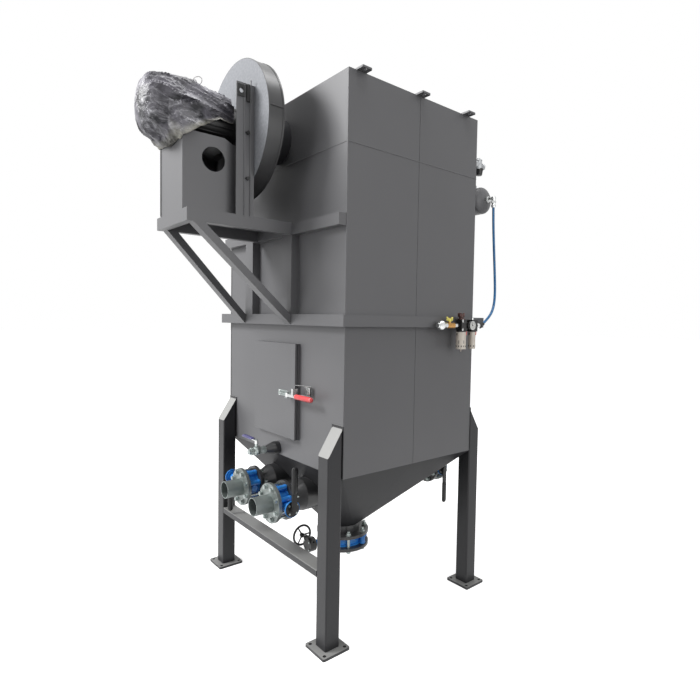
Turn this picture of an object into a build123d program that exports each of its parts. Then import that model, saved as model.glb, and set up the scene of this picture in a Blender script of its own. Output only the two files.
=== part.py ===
from build123d import *
import math
import os

# A cartridge dust collector on four legs, in millimetres.
# Z is up from the floor, the front with the fan platform and the pan door faces -Y,
# the side with the compressed air unit faces +X, and the pulse air tank is at the back, +Y.

# Housing
body_w = 1270.0
body_d = 1000.0
hopper_top_z = 870.0
seam_z = 2550.0
roof_z = 2900.0
sheet = 4.0
panel_gap = 2.0
panel_seam_y = 0.0

# Square to round hopper
outlet_r = 110.0
hopper_bottom_z = 345.0
hopper_facets = 4

# Legs
leg = 88.0
leg_corner = 8.0
leg_top_low_z = 988.0
leg_top_high_z = 1126.0
foot = 165.0
foot_t = 14.0
foot_hole_r = 9.0
foot_hole_inset = 20.0
pad_t = 4.0
pad_side = 4.0
pad_top = 14.0
front_rail_z = 363.0
front_rail_h = 36.0

# Belt, ledger and fan platform, made of one size of box tube
tube_h = 60.0
tube_w = 48.0
belt_z = 1640.0
post_w = 92.0
post_left_x = -335.0
post_right_x = 113.0
platform_left_x = -222.0
platform_right_x = 205.0
platform_reach = 632.0
platform_rail_w = 40.0
deck_t = 4.0
brace_w = 60.0
brace_d = 40.0

# Pan door
door_w = 460.0
door_h = 540.0
door_z = 995.0
door_t = 14.0
frame_t = 14.0
frame_rim = 38.0
gasket_t = 3.4
gasket_w = 14.0
fit_gap = 0.3
hinge_r = 6.0
hinge_len = 60.0
hinge_out_x = 9.0

# Toggle latch of the door
latch_rise = 255.0
latch_pivot_x = 196.0
latch_pivot_out = 28.0
grip_start_x = 280.0
grip_end_x = 438.0
grip_r = 13.0
loop_x = 258.0
loop_wire = 5.0
loop_rise = 33.0
keeper_x = 301.0
keeper_w = 63.0
keeper_h = 39.0

# Direct driven fan
fan_x = -10.0
fan_z = 2700.0
fan_r = 365.0
fan_out = 280.0
fan_depth = 92.0
fan_plate_t = 4.0
fan_duct_r = 125.0
fan_outlet_reach = 440.0
motor_shaft_h = 112.0
pedestal_half = 155.0
pedestal_h = 386.0
pedestal_fall = 25.0
pedestal_sheet = 5.0
pedestal_hole_r = 61.0
pedestal_hole_in = 159.0
pedestal_hole_drop = 118.0
upright_w = 100.0
upright_rise = 168.0
upright_flange = 28.0

# Dust inlets with butterfly valves, the outlet valve and the back nozzle
inlet_x = 175.0
inlet_z = 652.0
stub_r = 50.0
stub_wall = 4.0
stub_out = 257.0
valve_out = 136.0
valve_len = 70.0
flange_r = 110.0
flange_t = 19.0
flange_hole_r = 9.0
flange_pcd = 180.0
inlet_duct_r = 92.0
inlet_duct_rise = 10.0
cone_len = 90.0
back_x = 180.0
back_z = 650.0
back_valve_out = 145.0
outlet_flange_r = 170.0
outlet_pcd = 295.0
outlet_hole_r = 11.0
outlet_valve_len = 60.0
disc_t = 8.0
stem_r = 8.0
running = 0.1
lever_len = 215.0
lever_w = 30.0
near_reach = 155.0
far_reach = 225.0
back_reach = 115.0
back_stub_len = 60.0

# Compressed air
tank_r = 84.0
tank_out = 155.0
tank_drop = 95.0
tank_end_inset = 75.0
tank_dome = 40.0
pulse_inset = 105.0
pulse_rise = 235.0
air_out = 37.0
air_rise = 12.0
air_inset = 414.0
hose_r = 8.0

weld_gap = 0.4
back_duct_r = stub_r + 6.0

half_w = body_w / 2
half_d = body_d / 2
front_y = -half_d
pedestal_top_z = fan_z - motor_shaft_h
deck_top_z = pedestal_top_z - pedestal_h
platform_top_z = deck_top_z - deck_t
ledger_z = platform_top_z - tube_h
platform_front_y = front_y - platform_reach
fan_front_y = front_y - fan_out
fan_back_y = fan_front_y + fan_depth
fan_outlet_x = fan_x - fan_outlet_reach
upright_y = fan_front_y - upright_w
upright_top_z = fan_z + upright_rise
door_back_y = front_y - frame_t - gasket_t - 2 * fit_gap
door_front_y = door_back_y - door_t
hinge_x = -door_w / 2 - hinge_out_x
hinge_y = front_y - frame_t + 4.0
latch_pivot_y = door_front_y - latch_pivot_out
latch_z = door_z + latch_rise
stub_end_y = front_y - stub_out
valve_front_y = front_y - valve_out
back_valve_y = half_d + back_valve_out
tank_y = half_d + tank_out
tank_z = seam_z - tank_drop
tank_right_x = half_w - tank_end_inset
tank_left_x = -tank_right_x
pulse_z = tank_z + pulse_rise
pulse_x = [(half_w - pulse_inset) * step / 3 for step in (-3, -1, 1, 3)]
air_x = half_w + tube_w + air_out
air_z = belt_z + air_rise

os.makedirs("parts", exist_ok=True)


def save(builder, name):
    builder.part.label = name
    export_step(builder.part, "parts/" + name + ".step")


def box(x0, x1, y0, y1, z0, z1, mode=Mode.ADD):
    """A block between two corners, added to the part being built."""
    centre = ((x0 + x1) / 2, (y0 + y1) / 2, (z0 + z1) / 2)
    with Locations(centre):
        Box(x1 - x0, y1 - y0, z1 - z0, mode=mode)


def cylinder(start, direction, radius, length, mode=Mode.ADD):
    """A round bar from a point along a direction."""
    with BuildSketch(Plane(origin=start, z_dir=direction)) as face:
        Circle(radius)
    extrude(face.sketch, amount=length, mode=mode)


def cone(start, direction, radius, end_radius, length, rise=0.0, mode=Mode.ADD):
    """A round taper from a point along a direction, its far end raised for an eccentric one."""
    end = Vector(*start) + Vector(*direction) * length + Vector(0, 0, rise)
    with BuildSketch(Plane(origin=start, z_dir=direction)) as near:
        Circle(radius)
    with BuildSketch(Plane(origin=tuple(end), z_dir=direction)) as far:
        Circle(end_radius)
    loft([near.sketch.face(), far.sketch.face()], mode=mode)


def pipe(start, direction, radius, wall, length):
    """A round tube from a point along a direction."""
    with BuildSketch(Plane(origin=start, z_dir=direction)) as ring:
        Circle(radius)
        Circle(radius - wall, mode=Mode.SUBTRACT)
    extrude(ring.sketch, amount=length)


def flange(start, direction, radius, bore, thickness, pcd, count, hole_r):
    """A flat pipe flange with its ring of bolt holes."""
    with BuildSketch(Plane(origin=start, z_dir=direction)) as ring:
        Circle(radius)
        Circle(bore, mode=Mode.SUBTRACT)
        with PolarLocations(pcd / 2, count, start_angle=180 / count):
            Circle(hole_r, mode=Mode.SUBTRACT)
    extrude(ring.sketch, amount=thickness)


# Legs: square tube uprights before the front wall and behind the back wall,
# their tops cut on a slope that rises to the wall.
leg_centres = []
with BuildPart() as legs:
    for side in (-1, 1):
        for end in (-1, 1):
            outer = end * (half_d + pad_t + leg)
            inner = end * (half_d + pad_t)
            centre_x = side * (half_w - leg / 2)
            leg_centres.append((centre_x, (outer + inner) / 2))
            with BuildSketch(Plane.XY.offset(foot_t)):
                with Locations((centre_x, (outer + inner) / 2)):
                    RectangleRounded(leg, leg, leg_corner)
            extrude(amount=leg_top_high_z - foot_t)
            with BuildSketch(Plane.YZ.offset(centre_x - leg)):
                with BuildLine():
                    Polyline((inner, leg_top_high_z), (outer, leg_top_low_z),
                             (outer + end, leg_top_low_z), (outer + end, leg_top_high_z + 1),
                             (inner, leg_top_high_z + 1), close=True)
                make_face()
            extrude(amount=2 * leg, mode=Mode.SUBTRACT)
save(legs, "legs")

with BuildPart() as foot_plates:
    for centre in leg_centres:
        with BuildSketch():
            with Locations(centre):
                RectangleRounded(foot, foot, leg_corner)
                with GridLocations(foot - 2 * foot_hole_inset, foot - 2 * foot_hole_inset, 2, 2):
                    Circle(foot_hole_r, mode=Mode.SUBTRACT)
        extrude(amount=foot_t)
save(foot_plates, "foot_plates")

with BuildPart() as leg_pads:
    for side in (-1, 1):
        for end in (-1, 1):
            x0, x1 = sorted((side * (half_w + pad_side), side * (half_w - leg - pad_side)))
            y0, y1 = sorted((end * half_d, end * (half_d + pad_t)))
            box(x0, x1, y0, y1, hopper_top_z + pad_side, leg_top_high_z + pad_top)
save(leg_pads, "leg_pads")

# A flat tube ties the two front legs together below the inlets.
with BuildPart() as front_rail:
    box(-half_w + leg, half_w - leg, front_y - pad_t - leg, front_y - pad_t,
        front_rail_z, front_rail_z + front_rail_h)
    fillet(front_rail.edges().filter_by(Axis.X), leg_corner / 2)
save(front_rail, "front_rail")


# The hopper's skin is the hull of the housing's rectangle and the outlet's circle:
# four flat triangles, and a fan of narrow facets round each corner. It is folded from
# four quarters that meet at seams down the middle of the flat sides.
def hopper_solid(inset):
    w, d, r = half_w - inset, half_d - inset, outlet_r - inset
    corners = [(w, -d), (w, d), (-w, d), (-w, -d)]
    top = [Vector(x, y, hopper_top_z) for x, y in corners]
    count = 4 * hopper_facets
    ring = [Vector(r * math.cos(math.tau * i / count), r * math.sin(math.tau * i / count),
                   hopper_bottom_z) for i in range(count)]
    faces = [Face(Wire.make_polygon(top)), Face(Wire.make_polygon(ring))]
    for quarter in range(4):
        corner = top[(quarter + 1) % 4]
        first = quarter * hopper_facets
        for i in range(first, first + hopper_facets):
            faces.append(Face(Wire.make_polygon([corner, ring[i], ring[(i + 1) % count]])))
        faces.append(Face(Wire.make_polygon([top[quarter], corner, ring[first]])))
    return Solid(Shell(faces))


with BuildPart() as hopper:
    add(hopper_solid(0.0))
    add(hopper_solid(sheet), mode=Mode.SUBTRACT)
    for side in (-1, 1):
        cylinder((side * inlet_x, -half_d, inlet_z + inlet_duct_rise), (0, 1, 0), inlet_duct_r - stub_wall,
                 half_d, mode=Mode.SUBTRACT)
    cylinder((back_x, 0, back_z), (0, 1, 0), back_duct_r - stub_wall, half_d, mode=Mode.SUBTRACT)
    box(-weld_gap / 2, weld_gap / 2, -half_d, half_d, hopper_bottom_z, hopper_top_z, mode=Mode.SUBTRACT)
    box(-half_w, half_w, -weld_gap / 2, weld_gap / 2, hopper_bottom_z, hopper_top_z, mode=Mode.SUBTRACT)
save(hopper, "hopper")

# Dust outlet: a short collar and flange under the hopper, and a worm geared butterfly valve.
collar_len = 45.0
outlet_valve_z = hopper_bottom_z - collar_len - flange_t
outlet_bore = 100.0
with BuildPart() as outlet_collar:
    pipe((0, 0, hopper_bottom_z), (0, 0, -1), outlet_r, sheet, collar_len + flange_t)
    flange((0, 0, hopper_bottom_z - collar_len), (0, 0, -1), outlet_flange_r, outlet_r - 1, flange_t,
           outlet_pcd, 8, outlet_hole_r)
save(outlet_collar, "outlet_collar")

# The loose flange that clamps the valve from below.
with BuildPart() as outlet_flange:
    flange((0, 0, outlet_valve_z - outlet_valve_len - fit_gap), (0, 0, -1), outlet_flange_r, outlet_bore,
           flange_t, outlet_pcd, 8, outlet_hole_r)
save(outlet_flange, "outlet_flange")


def valve_body(centre, direction, bore, rim_r, length, stem_dir, pad_out):
    """A wafer butterfly valve body: a ribbed ring, its neck and the top flange."""
    axis = Vector(*direction)
    start = Vector(*centre) - axis * (length / 2)
    stem = Vector(*stem_dir)
    pipe(tuple(start), direction, rim_r, rim_r - bore, length)
    waist = rim_r - 8.0
    with BuildSketch(Plane(origin=tuple(start + axis * 10.0), z_dir=direction)) as groove:
        Circle(rim_r + 1)
        Circle(waist, mode=Mode.SUBTRACT)
    extrude(groove.sketch, amount=length - 20.0, mode=Mode.SUBTRACT)
    neck_r = length * 0.28
    cylinder(tuple(Vector(*centre) + stem * (waist - 4)), stem_dir, neck_r, pad_out - waist - 6)
    cylinder(tuple(Vector(*centre) + stem * (pad_out - 12)), stem_dir, length * 0.48, 12)
    cylinder(tuple(Vector(*centre) - stem * (waist + 12)), stem_dir, neck_r, 16)
    cylinder(tuple(Vector(*centre) - stem * (bore + 6)), stem_dir, stem_r + running, pad_out + bore + 10,
             mode=Mode.SUBTRACT)


outlet_valve_centre = (0, 0, outlet_valve_z - outlet_valve_len / 2)
outlet_valve_r = outlet_pcd / 2 - outlet_hole_r - 2
gear_dir = (0, -1, 0)
gear_out = 235.0
with BuildPart() as outlet_valve_body:
    valve_body(outlet_valve_centre, (0, 0, 1), outlet_bore, outlet_valve_r, outlet_valve_len,
               gear_dir, gear_out)
save(outlet_valve_body, "outlet_valve_body")

gear_start = Vector(*outlet_valve_centre) + Vector(*gear_dir) * (gear_out + fit_gap)
gear_side = Vector(gear_dir[1], -gear_dir[0], 0)
gear_depth = 46.0
worm_rise = 28.0
with BuildPart() as outlet_gearbox:
    cylinder(tuple(gear_start), gear_dir, 44.0, gear_depth)
    cylinder(tuple(gear_start), gear_dir, stem_r + running, gear_depth / 2, mode=Mode.SUBTRACT)
    worm_start = gear_start + Vector(*gear_dir) * (gear_depth / 2) - gear_side * 40 + Vector(0, 0, worm_rise)
    cylinder(tuple(worm_start), tuple(gear_side), 17.0, 90.0)
    cylinder(tuple(worm_start), tuple(gear_side), 7.0 + running, 91.0, mode=Mode.SUBTRACT)
save(outlet_gearbox, "outlet_gearbox")

wheel_r = 62.0
wheel_out = 124.0
wheel_centre = worm_start + gear_side * (wheel_out + 10)
with BuildPart() as outlet_handwheel:
    wheel_plane = Plane(origin=tuple(wheel_centre), z_dir=tuple(gear_side))
    with Locations(wheel_plane):
        Torus(wheel_r, 7.0)
    cylinder(tuple(worm_start + gear_side * 10), tuple(gear_side), 7.0, wheel_out)
    cylinder(tuple(wheel_centre - gear_side * 10), tuple(gear_side), 14.0, 18.0)
    for spoke in range(3):
        angle = math.tau * (spoke + 0.25) / 3
        out = wheel_plane.x_dir * math.cos(angle) + wheel_plane.y_dir * math.sin(angle)
        cylinder(tuple(wheel_centre + out * 6), tuple(out), 4.5, wheel_r - 8)
save(outlet_handwheel, "outlet_handwheel")

with BuildPart() as outlet_disc:
    cylinder(tuple(Vector(*outlet_valve_centre) - Vector(0, 0, disc_t / 2)), (0, 0, 1),
             outlet_bore - 1.0, disc_t)
    cylinder(tuple(Vector(*outlet_valve_centre) - Vector(*gear_dir) * (outlet_bore + 4)), gear_dir,
             stem_r, outlet_bore + 4 + gear_out + gear_depth / 2 - 2)
save(outlet_disc, "outlet_disc")

# Dust inlets: a stub and flange, a butterfly valve, then a flanged cone and a duct
# that runs level into the hopper's sloped front.
valve_back_y = valve_front_y + valve_len
valve_bore = 50.0


def hopper_reach(radius, height):
    """How far behind the front wall a level duct must run to pass the sloped skin."""
    return (hopper_top_z - (height - radius)) * (half_d - outlet_r) / (hopper_top_z - hopper_bottom_z)


inlet_duct_z = inlet_z + inlet_duct_rise
duct_end_y = front_y + hopper_reach(inlet_duct_r, inlet_duct_z)
back_front_y = back_valve_y - valve_len / 2
back_rear_y = back_valve_y + valve_len / 2
with BuildPart() as nozzle_ducts:
    for side in (-1, 1):
        x = side * inlet_x
        cone_start = valve_back_y + 2 * fit_gap + flange_t
        flange((x, valve_back_y + 2 * fit_gap, inlet_z), (0, 1, 0), flange_r, stub_r - stub_wall, flange_t,
               flange_pcd, 8, flange_hole_r)
        cone((x, cone_start, inlet_z), (0, 1, 0), stub_r + 6, inlet_duct_r, cone_len, inlet_duct_rise)
        cone((x, cone_start, inlet_z), (0, 1, 0), stub_r + 6 - stub_wall, inlet_duct_r - stub_wall, cone_len,
             inlet_duct_rise, mode=Mode.SUBTRACT)
        pipe((x, cone_start + cone_len, inlet_duct_z), (0, 1, 0), inlet_duct_r, stub_wall,
             duct_end_y - cone_start - cone_len)
    back_flange_y = back_front_y - 2 * fit_gap - flange_t
    back_reach_y = half_d - hopper_reach(back_duct_r, back_z)
    flange((back_x, back_flange_y, back_z), (0, 1, 0), flange_r, stub_r - stub_wall,
           flange_t, flange_pcd, 8, flange_hole_r)
    pipe((back_x, back_reach_y, back_z), (0, 1, 0), back_duct_r, stub_wall, back_flange_y - back_reach_y)
    add(hopper_solid(0.0), mode=Mode.SUBTRACT)
save(nozzle_ducts, "nozzle_ducts")

near_valve_centre = (inlet_x, (valve_front_y + valve_back_y) / 2, inlet_z)
far_valve_centre = (-inlet_x, (valve_front_y + valve_back_y) / 2, inlet_z)
valve_rim = flange_pcd / 2 - flange_hole_r - 2
back_valve_centre = (back_x, back_valve_y, back_z)
with BuildPart() as valve_bodies:
    valve_body(near_valve_centre, (0, 1, 0), valve_bore, valve_rim, valve_len, (1, 0, 0), near_reach)
    valve_body(far_valve_centre, (0, 1, 0), valve_bore, valve_rim, valve_len, (-1, 0, 0), far_reach)
    valve_body(back_valve_centre, (0, 1, 0), valve_bore, valve_rim, valve_len, (1, 0, 0), back_reach)
save(valve_bodies, "valve_bodies")

with BuildPart() as nozzle_stubs:
    for side in (-1, 1):
        x = side * inlet_x
        flange_back = valve_front_y - 2 * fit_gap
        pipe((x, stub_end_y, inlet_z), (0, 1, 0), stub_r, stub_wall, flange_back - stub_end_y)
        flange((x, flange_back - flange_t, inlet_z), (0, 1, 0), flange_r, stub_r - 1, flange_t,
               flange_pcd, 8, flange_hole_r)
    flange((back_x, back_rear_y + 2 * fit_gap, back_z), (0, 1, 0), flange_r, stub_r - 1, flange_t,
           flange_pcd, 8, flange_hole_r)
    pipe((back_x, back_rear_y + 2 * fit_gap, back_z), (0, 1, 0), stub_r, stub_wall, back_stub_len)
save(nozzle_stubs, "nozzle_stubs")


def valve_lever(centre, pipe_dir, stem_dir, lever_dir, reach):
    """A butterfly disc closed across its bore, its stem and the flat hand lever."""
    middle, stem, along = Vector(*centre), Vector(*stem_dir), Vector(*lever_dir)
    cylinder(tuple(middle - Vector(*pipe_dir) * (disc_t / 2)), pipe_dir, valve_bore - 0.8, disc_t)
    cylinder(tuple(middle - stem * (valve_bore + 4)), stem_dir, stem_r, valve_bore + 4 + reach + 12)
    hub = middle + stem * (reach + 5)
    cylinder(tuple(hub), stem_dir, 17.0, 16.0)
    lever_plane = Plane(origin=tuple(hub + stem * 10), z_dir=stem_dir, x_dir=lever_dir)
    with BuildSketch(lever_plane) as bar:
        with Locations((lever_len / 2, 0)):
            SlotOverall(lever_len + lever_w, lever_w)
    extrude(bar.sketch, amount=9.0)


with BuildPart() as near_valve_lever:
    valve_lever(near_valve_centre, (0, 1, 0), (1, 0, 0), (0, 0, 1), near_reach)
save(near_valve_lever, "near_valve_lever")

with BuildPart() as far_valve_lever:
    valve_lever(far_valve_centre, (0, 1, 0), (-1, 0, 0), (0, 0, -1), far_reach)
save(far_valve_lever, "far_valve_lever")

with BuildPart() as back_valve_lever:
    valve_lever(back_valve_centre, (0, 1, 0), (1, 0, 0), (0, 0, -1), back_reach)
save(back_valve_lever, "back_valve_lever")

# Housing walls, of plain sheet. The front wall is cut out behind the pan door.
door_open_w = door_w - 2 * frame_rim
door_open_z0 = door_z + frame_rim
door_open_z1 = door_z + door_h - frame_rim
port_x, port_z, port_r = 0.0, hopper_top_z + 37.0, 38.0
with BuildPart() as front_wall:
    box(-half_w, half_w, front_y, front_y + sheet, hopper_top_z, seam_z)
    box(-door_open_w / 2, door_open_w / 2, front_y, front_y + sheet, door_open_z0, door_open_z1,
        mode=Mode.SUBTRACT)
    cylinder((port_x, front_y, port_z), (0, 1, 0), port_r - stub_wall, sheet, mode=Mode.SUBTRACT)
save(front_wall, "front_wall")

with BuildPart() as back_wall:
    box(-half_w, half_w, half_d - sheet, half_d, hopper_top_z, seam_z)
save(back_wall, "back_wall")

with BuildPart() as left_wall:
    box(-half_w, -half_w + sheet, front_y + sheet, half_d - sheet, hopper_top_z, seam_z)
save(left_wall, "left_wall")

# The right wall is two panels with an open joint between them.
with BuildPart() as right_wall:
    box(half_w - sheet, half_w, front_y + sheet, panel_seam_y - panel_gap / 2, hopper_top_z, seam_z)
    box(half_w - sheet, half_w, panel_seam_y + panel_gap / 2, half_d - sheet, hopper_top_z, seam_z)
save(right_wall, "right_wall")

# Clean air plenum above the seam, with a hole for each blow pipe.
pulse_pipe_r = 20.0
with BuildPart() as plenum_end_walls:
    box(-half_w, half_w, front_y, front_y + sheet, seam_z, roof_z)
    cylinder((fan_x, front_y, fan_z), (0, 1, 0), fan_duct_r - sheet, sheet, mode=Mode.SUBTRACT)
    box(-half_w, half_w, half_d - sheet, half_d, seam_z, roof_z)
    for x in pulse_x:
        cylinder((x, half_d - sheet, pulse_z), (0, 1, 0), pulse_pipe_r + 2.0, sheet, mode=Mode.SUBTRACT)
save(plenum_end_walls, "plenum_end_walls")

with BuildPart() as plenum_side_walls:
    box(-half_w, -half_w + sheet, front_y + sheet, half_d - sheet, seam_z, roof_z)
    box(half_w - sheet, half_w, front_y + sheet, panel_seam_y - panel_gap / 2, seam_z, roof_z)
    box(half_w - sheet, half_w, panel_seam_y + panel_gap / 2, half_d - sheet, seam_z, roof_z)
save(plenum_side_walls, "plenum_side_walls")

with BuildPart() as roof:
    box(-half_w, half_w, front_y, half_d, roof_z, roof_z + sheet)
save(roof, "roof")

lug = 62.0
lug_t = 10.0
with BuildPart() as roof_lugs:
    for side in (-1, 1):
        for y in (front_y + 80.0, panel_seam_y, half_d - 110.0):
            with BuildSketch(Plane.XY.offset(roof_z + sheet)):
                with Locations((side * (half_w + lug / 4), y)):
                    RectangleRounded(lug, lug, 6)
                    with Locations((side * lug / 5, 0)):
                        Circle(10.0, mode=Mode.SUBTRACT)
            extrude(amount=lug_t)
save(roof_lugs, "roof_lugs")

# Inside: the sheet that the filter cartridges hang from, and six cartridges.
cartridge_gap = 74.0
cartridge_r = (body_w - 2 * sheet - 4 * cartridge_gap) / 6
cartridge_len = 660.0
cartridge_pitch_x = 2 * cartridge_r + cartridge_gap
cartridge_pitch_y = (body_d - 2 * sheet + 2 * cartridge_r) / 3
with BuildPart() as tube_sheet:
    box(-half_w + sheet, half_w - sheet, front_y + sheet, half_d - sheet, seam_z - sheet, seam_z)
    with BuildSketch(Plane.XY.offset(seam_z)):
        with GridLocations(cartridge_pitch_x, cartridge_pitch_y, 3, 2):
            Circle(cartridge_r - 30)
    extrude(amount=-sheet, mode=Mode.SUBTRACT)
save(tube_sheet, "tube_sheet")

with BuildPart() as cartridges:
    for x in (-cartridge_pitch_x, 0, cartridge_pitch_x):
        for y in (-cartridge_pitch_y / 2, cartridge_pitch_y / 2):
            cylinder((x, y, seam_z - sheet), (0, 0, -1), cartridge_r, 14.0)
            cylinder((x, y, seam_z - sheet), (0, 0, -1), cartridge_r - 6, cartridge_len)
            cylinder((x, y, seam_z - sheet - cartridge_len + 14), (0, 0, -1), cartridge_r, 14.0)
save(cartridges, "cartridges")

# Box tube belt round the body, open where the two bracket posts cross it.
belt_out = tube_w
posts = [(post_left_x, post_left_x + post_w), (post_right_x, post_right_x + post_w)]
with BuildPart() as belt:
    belt_x = half_w + belt_out
    for side in (-1, 1):
        x0, x1 = sorted((side * half_w, side * belt_x))
        box(x0, x1, front_y - belt_out, half_d + belt_out, belt_z, belt_z + tube_h)
    box(-half_w + weld_gap, half_w - weld_gap, half_d, half_d + belt_out, belt_z, belt_z + tube_h)
    stretches = [(-half_w + weld_gap, posts[0][0]), (posts[0][1], posts[1][0]), (posts[1][1], half_w - weld_gap)]
    for x0, x1 in stretches:
        box(x0, x1, front_y - belt_out, front_y, belt_z, belt_z + tube_h)
save(belt, "belt")

with BuildPart() as ledger:
    box(-half_w, half_w, front_y - tube_w, front_y, ledger_z, ledger_z + tube_h)
save(ledger, "ledger")

with BuildPart() as bracket_posts:
    for x0, x1 in posts:
        box(x0, x1, front_y - tube_w, front_y, belt_z, ledger_z)
save(bracket_posts, "bracket_posts")

# Fan platform: a tube frame on the ledger, its deck plate, and two braces down to the posts.
ledger_face_y = front_y - tube_w
with BuildPart() as platform_frame:
    box(platform_left_x, platform_left_x + platform_rail_w, platform_front_y, ledger_face_y,
        ledger_z, platform_top_z)
    box(platform_right_x - platform_rail_w, platform_right_x, platform_front_y, ledger_face_y,
        ledger_z, platform_top_z)
    box(platform_left_x + platform_rail_w + weld_gap, platform_right_x - platform_rail_w - weld_gap,
        platform_front_y, platform_front_y + platform_rail_w, ledger_z, platform_top_z)
save(platform_frame, "platform_frame")

with BuildPart() as platform_deck:
    box(platform_left_x, platform_right_x, platform_front_y, ledger_face_y, platform_top_z,
        platform_top_z + deck_t)
save(platform_deck, "platform_deck")


def brace(top, bottom):
    """A square cut strut between two points, long enough to be trimmed at both ends."""
    run = Vector(*bottom) - Vector(*top)
    direction = run.normalized()
    start = Vector(*top) - direction * 120
    with BuildSketch(Plane(origin=tuple(start), z_dir=tuple(direction), x_dir=(1, 0, 0))) as section:
        Rectangle(brace_w, brace_d)
    extrude(section.sketch, amount=run.length + 240)


brace_top_y = platform_front_y + 62.0
brace_bottom_z = belt_z + 30.0
right_brace_x = platform_right_x - brace_w / 2
left_brace_top_x = platform_left_x + brace_w / 2
left_brace_bottom_x = post_left_x - brace_w / 2
with BuildPart() as braces:
    brace((right_brace_x, brace_top_y, ledger_z), (right_brace_x, ledger_face_y, brace_bottom_z))
    brace((left_brace_top_x, brace_top_y, ledger_z), (left_brace_bottom_x, ledger_face_y, brace_bottom_z))
    box(-half_w, half_w, platform_front_y - 400, half_d, ledger_z, roof_z, mode=Mode.SUBTRACT)
    box(-half_w, half_w, ledger_face_y, half_d, 0, ledger_z, mode=Mode.SUBTRACT)
save(braces, "braces")

# Pan door: a flanged frame on the wall, a gasket and a hollow backed door pan.
with BuildPart() as door_frame:
    box(-door_w / 2, door_w / 2, front_y - frame_t, front_y, door_z, door_z + door_h)
    box(-door_open_w / 2, door_open_w / 2, front_y - frame_t, front_y, door_open_z0, door_open_z1,
        mode=Mode.SUBTRACT)
save(door_frame, "door_frame")

with BuildPart() as door_gasket:
    gasket_y = front_y - frame_t - fit_gap
    half_gasket = door_w / 2 - 8
    box(-half_gasket, half_gasket, gasket_y - gasket_t, gasket_y, door_z + 8, door_z + door_h - 8)
    box(-half_gasket + gasket_w, half_gasket - gasket_w, gasket_y - gasket_t, gasket_y,
        door_z + 8 + gasket_w, door_z + door_h - 8 - gasket_w, mode=Mode.SUBTRACT)
save(door_gasket, "door_gasket")

with BuildPart() as door:
    box(-door_w / 2, door_w / 2, door_front_y, door_back_y, door_z, door_z + door_h)
    fillet(door.faces().sort_by(Axis.Y)[0].edges(), 2.0)
save(door, "door")

# Two hinges on the door's left edge: a wall lug and pin, and a leaf that rides on the door.
hinge_zs = (door_z + 90.0, door_z + door_h - 90.0)
hinge_pin_r = 3.5
leaf_t = 4.0
with BuildPart() as hinge_lugs:
    for z in hinge_zs:
        box(hinge_x - 4, hinge_x + 4, hinge_y, front_y, z - hinge_len / 2, z - hinge_len / 2 + 18)
        cylinder((hinge_x, hinge_y, z - hinge_len / 2), (0, 0, 1), hinge_r, 18)
        cylinder((hinge_x, hinge_y, z - hinge_len / 2), (0, 0, 1), hinge_pin_r, hinge_len)
save(hinge_lugs, "hinge_lugs")

with BuildPart() as hinge_leaves:
    for z in hinge_zs:
        z0 = z - hinge_len / 2 + 18 + 0.5
        cylinder((hinge_x, hinge_y, z0), (0, 0, 1), hinge_r, hinge_len - 19)
        box(hinge_x - leaf_t / 2, hinge_x + leaf_t / 2, door_back_y - leaf_t, hinge_y, z0, z0 + hinge_len - 19)
        box(hinge_x - leaf_t / 2, -door_w / 2, door_back_y - leaf_t, door_back_y, z0, z0 + hinge_len - 19)
        cylinder((hinge_x, hinge_y, z0), (0, 0, 1), hinge_pin_r + running, hinge_len, mode=Mode.SUBTRACT)
save(hinge_leaves, "hinge_leaves")

# Draw latch: the base plate and its ears sit on the door, the handle swings out on its
# pivot, and the wire loop that the handle carries draws on a keeper beside the door.
with BuildPart() as latch_base:
    base_y = door_front_y
    box(60, latch_pivot_x + 16, base_y - 3, base_y, latch_z - 17, latch_z + 17)
    for side in (-1, 1):
        z0, z1 = sorted((latch_z + side * 14, latch_z + side * 17))
        box(latch_pivot_x - 12, latch_pivot_x + 12, latch_pivot_y - 10, base_y, z0, z1)
    cylinder((latch_pivot_x, latch_pivot_y, latch_z - 17), (0, 0, 1), 4.0, 34)
    box(78, 110, base_y - 16, base_y - 3, latch_z - 6, latch_z + 6)
    cylinder((110, base_y - 10, latch_z), (1, 0, 0), 5.0, 56)
save(latch_base, "latch_base")

loop_pivot = (loop_x, latch_pivot_y + 14)
loop_z = latch_z + loop_rise
loop_half = keeper_h / 2 + loop_wire / 2 + 4.0
with BuildPart() as latch_handle:
    box(latch_pivot_x - 10, loop_x + 10, latch_pivot_y - 7, latch_pivot_y + 7, latch_z - 8, latch_z + 8)
    box(loop_x - 9, loop_x + 9, latch_pivot_y - 7, latch_pivot_y + 7, latch_z - 8, loop_z + 8)
    box(loop_x - 9, loop_x + 9, latch_pivot_y, latch_pivot_y + 22, loop_z - loop_half + 5, loop_z + 8)
    cylinder((latch_pivot_x, latch_pivot_y, latch_z - 13), (0, 0, 1), 9.0, 26)
    cylinder((loop_x, latch_pivot_y, latch_z), (1, 0, 0), 6.0, 30)
    cylinder((grip_start_x, latch_pivot_y, latch_z), (1, 0, 0), grip_r, grip_end_x - grip_start_x)
    fillet(latch_handle.faces().sort_by(Axis.X)[-1].edges(), 6)
    cylinder((latch_pivot_x, latch_pivot_y, latch_z - 20), (0, 0, 1), 4.0 + running, 40, mode=Mode.SUBTRACT)
    cylinder((*loop_pivot, latch_z - 20), (0, 0, 1), loop_wire / 2 + running, loop_rise + 40, mode=Mode.SUBTRACT)
save(latch_handle, "latch_handle")

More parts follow.
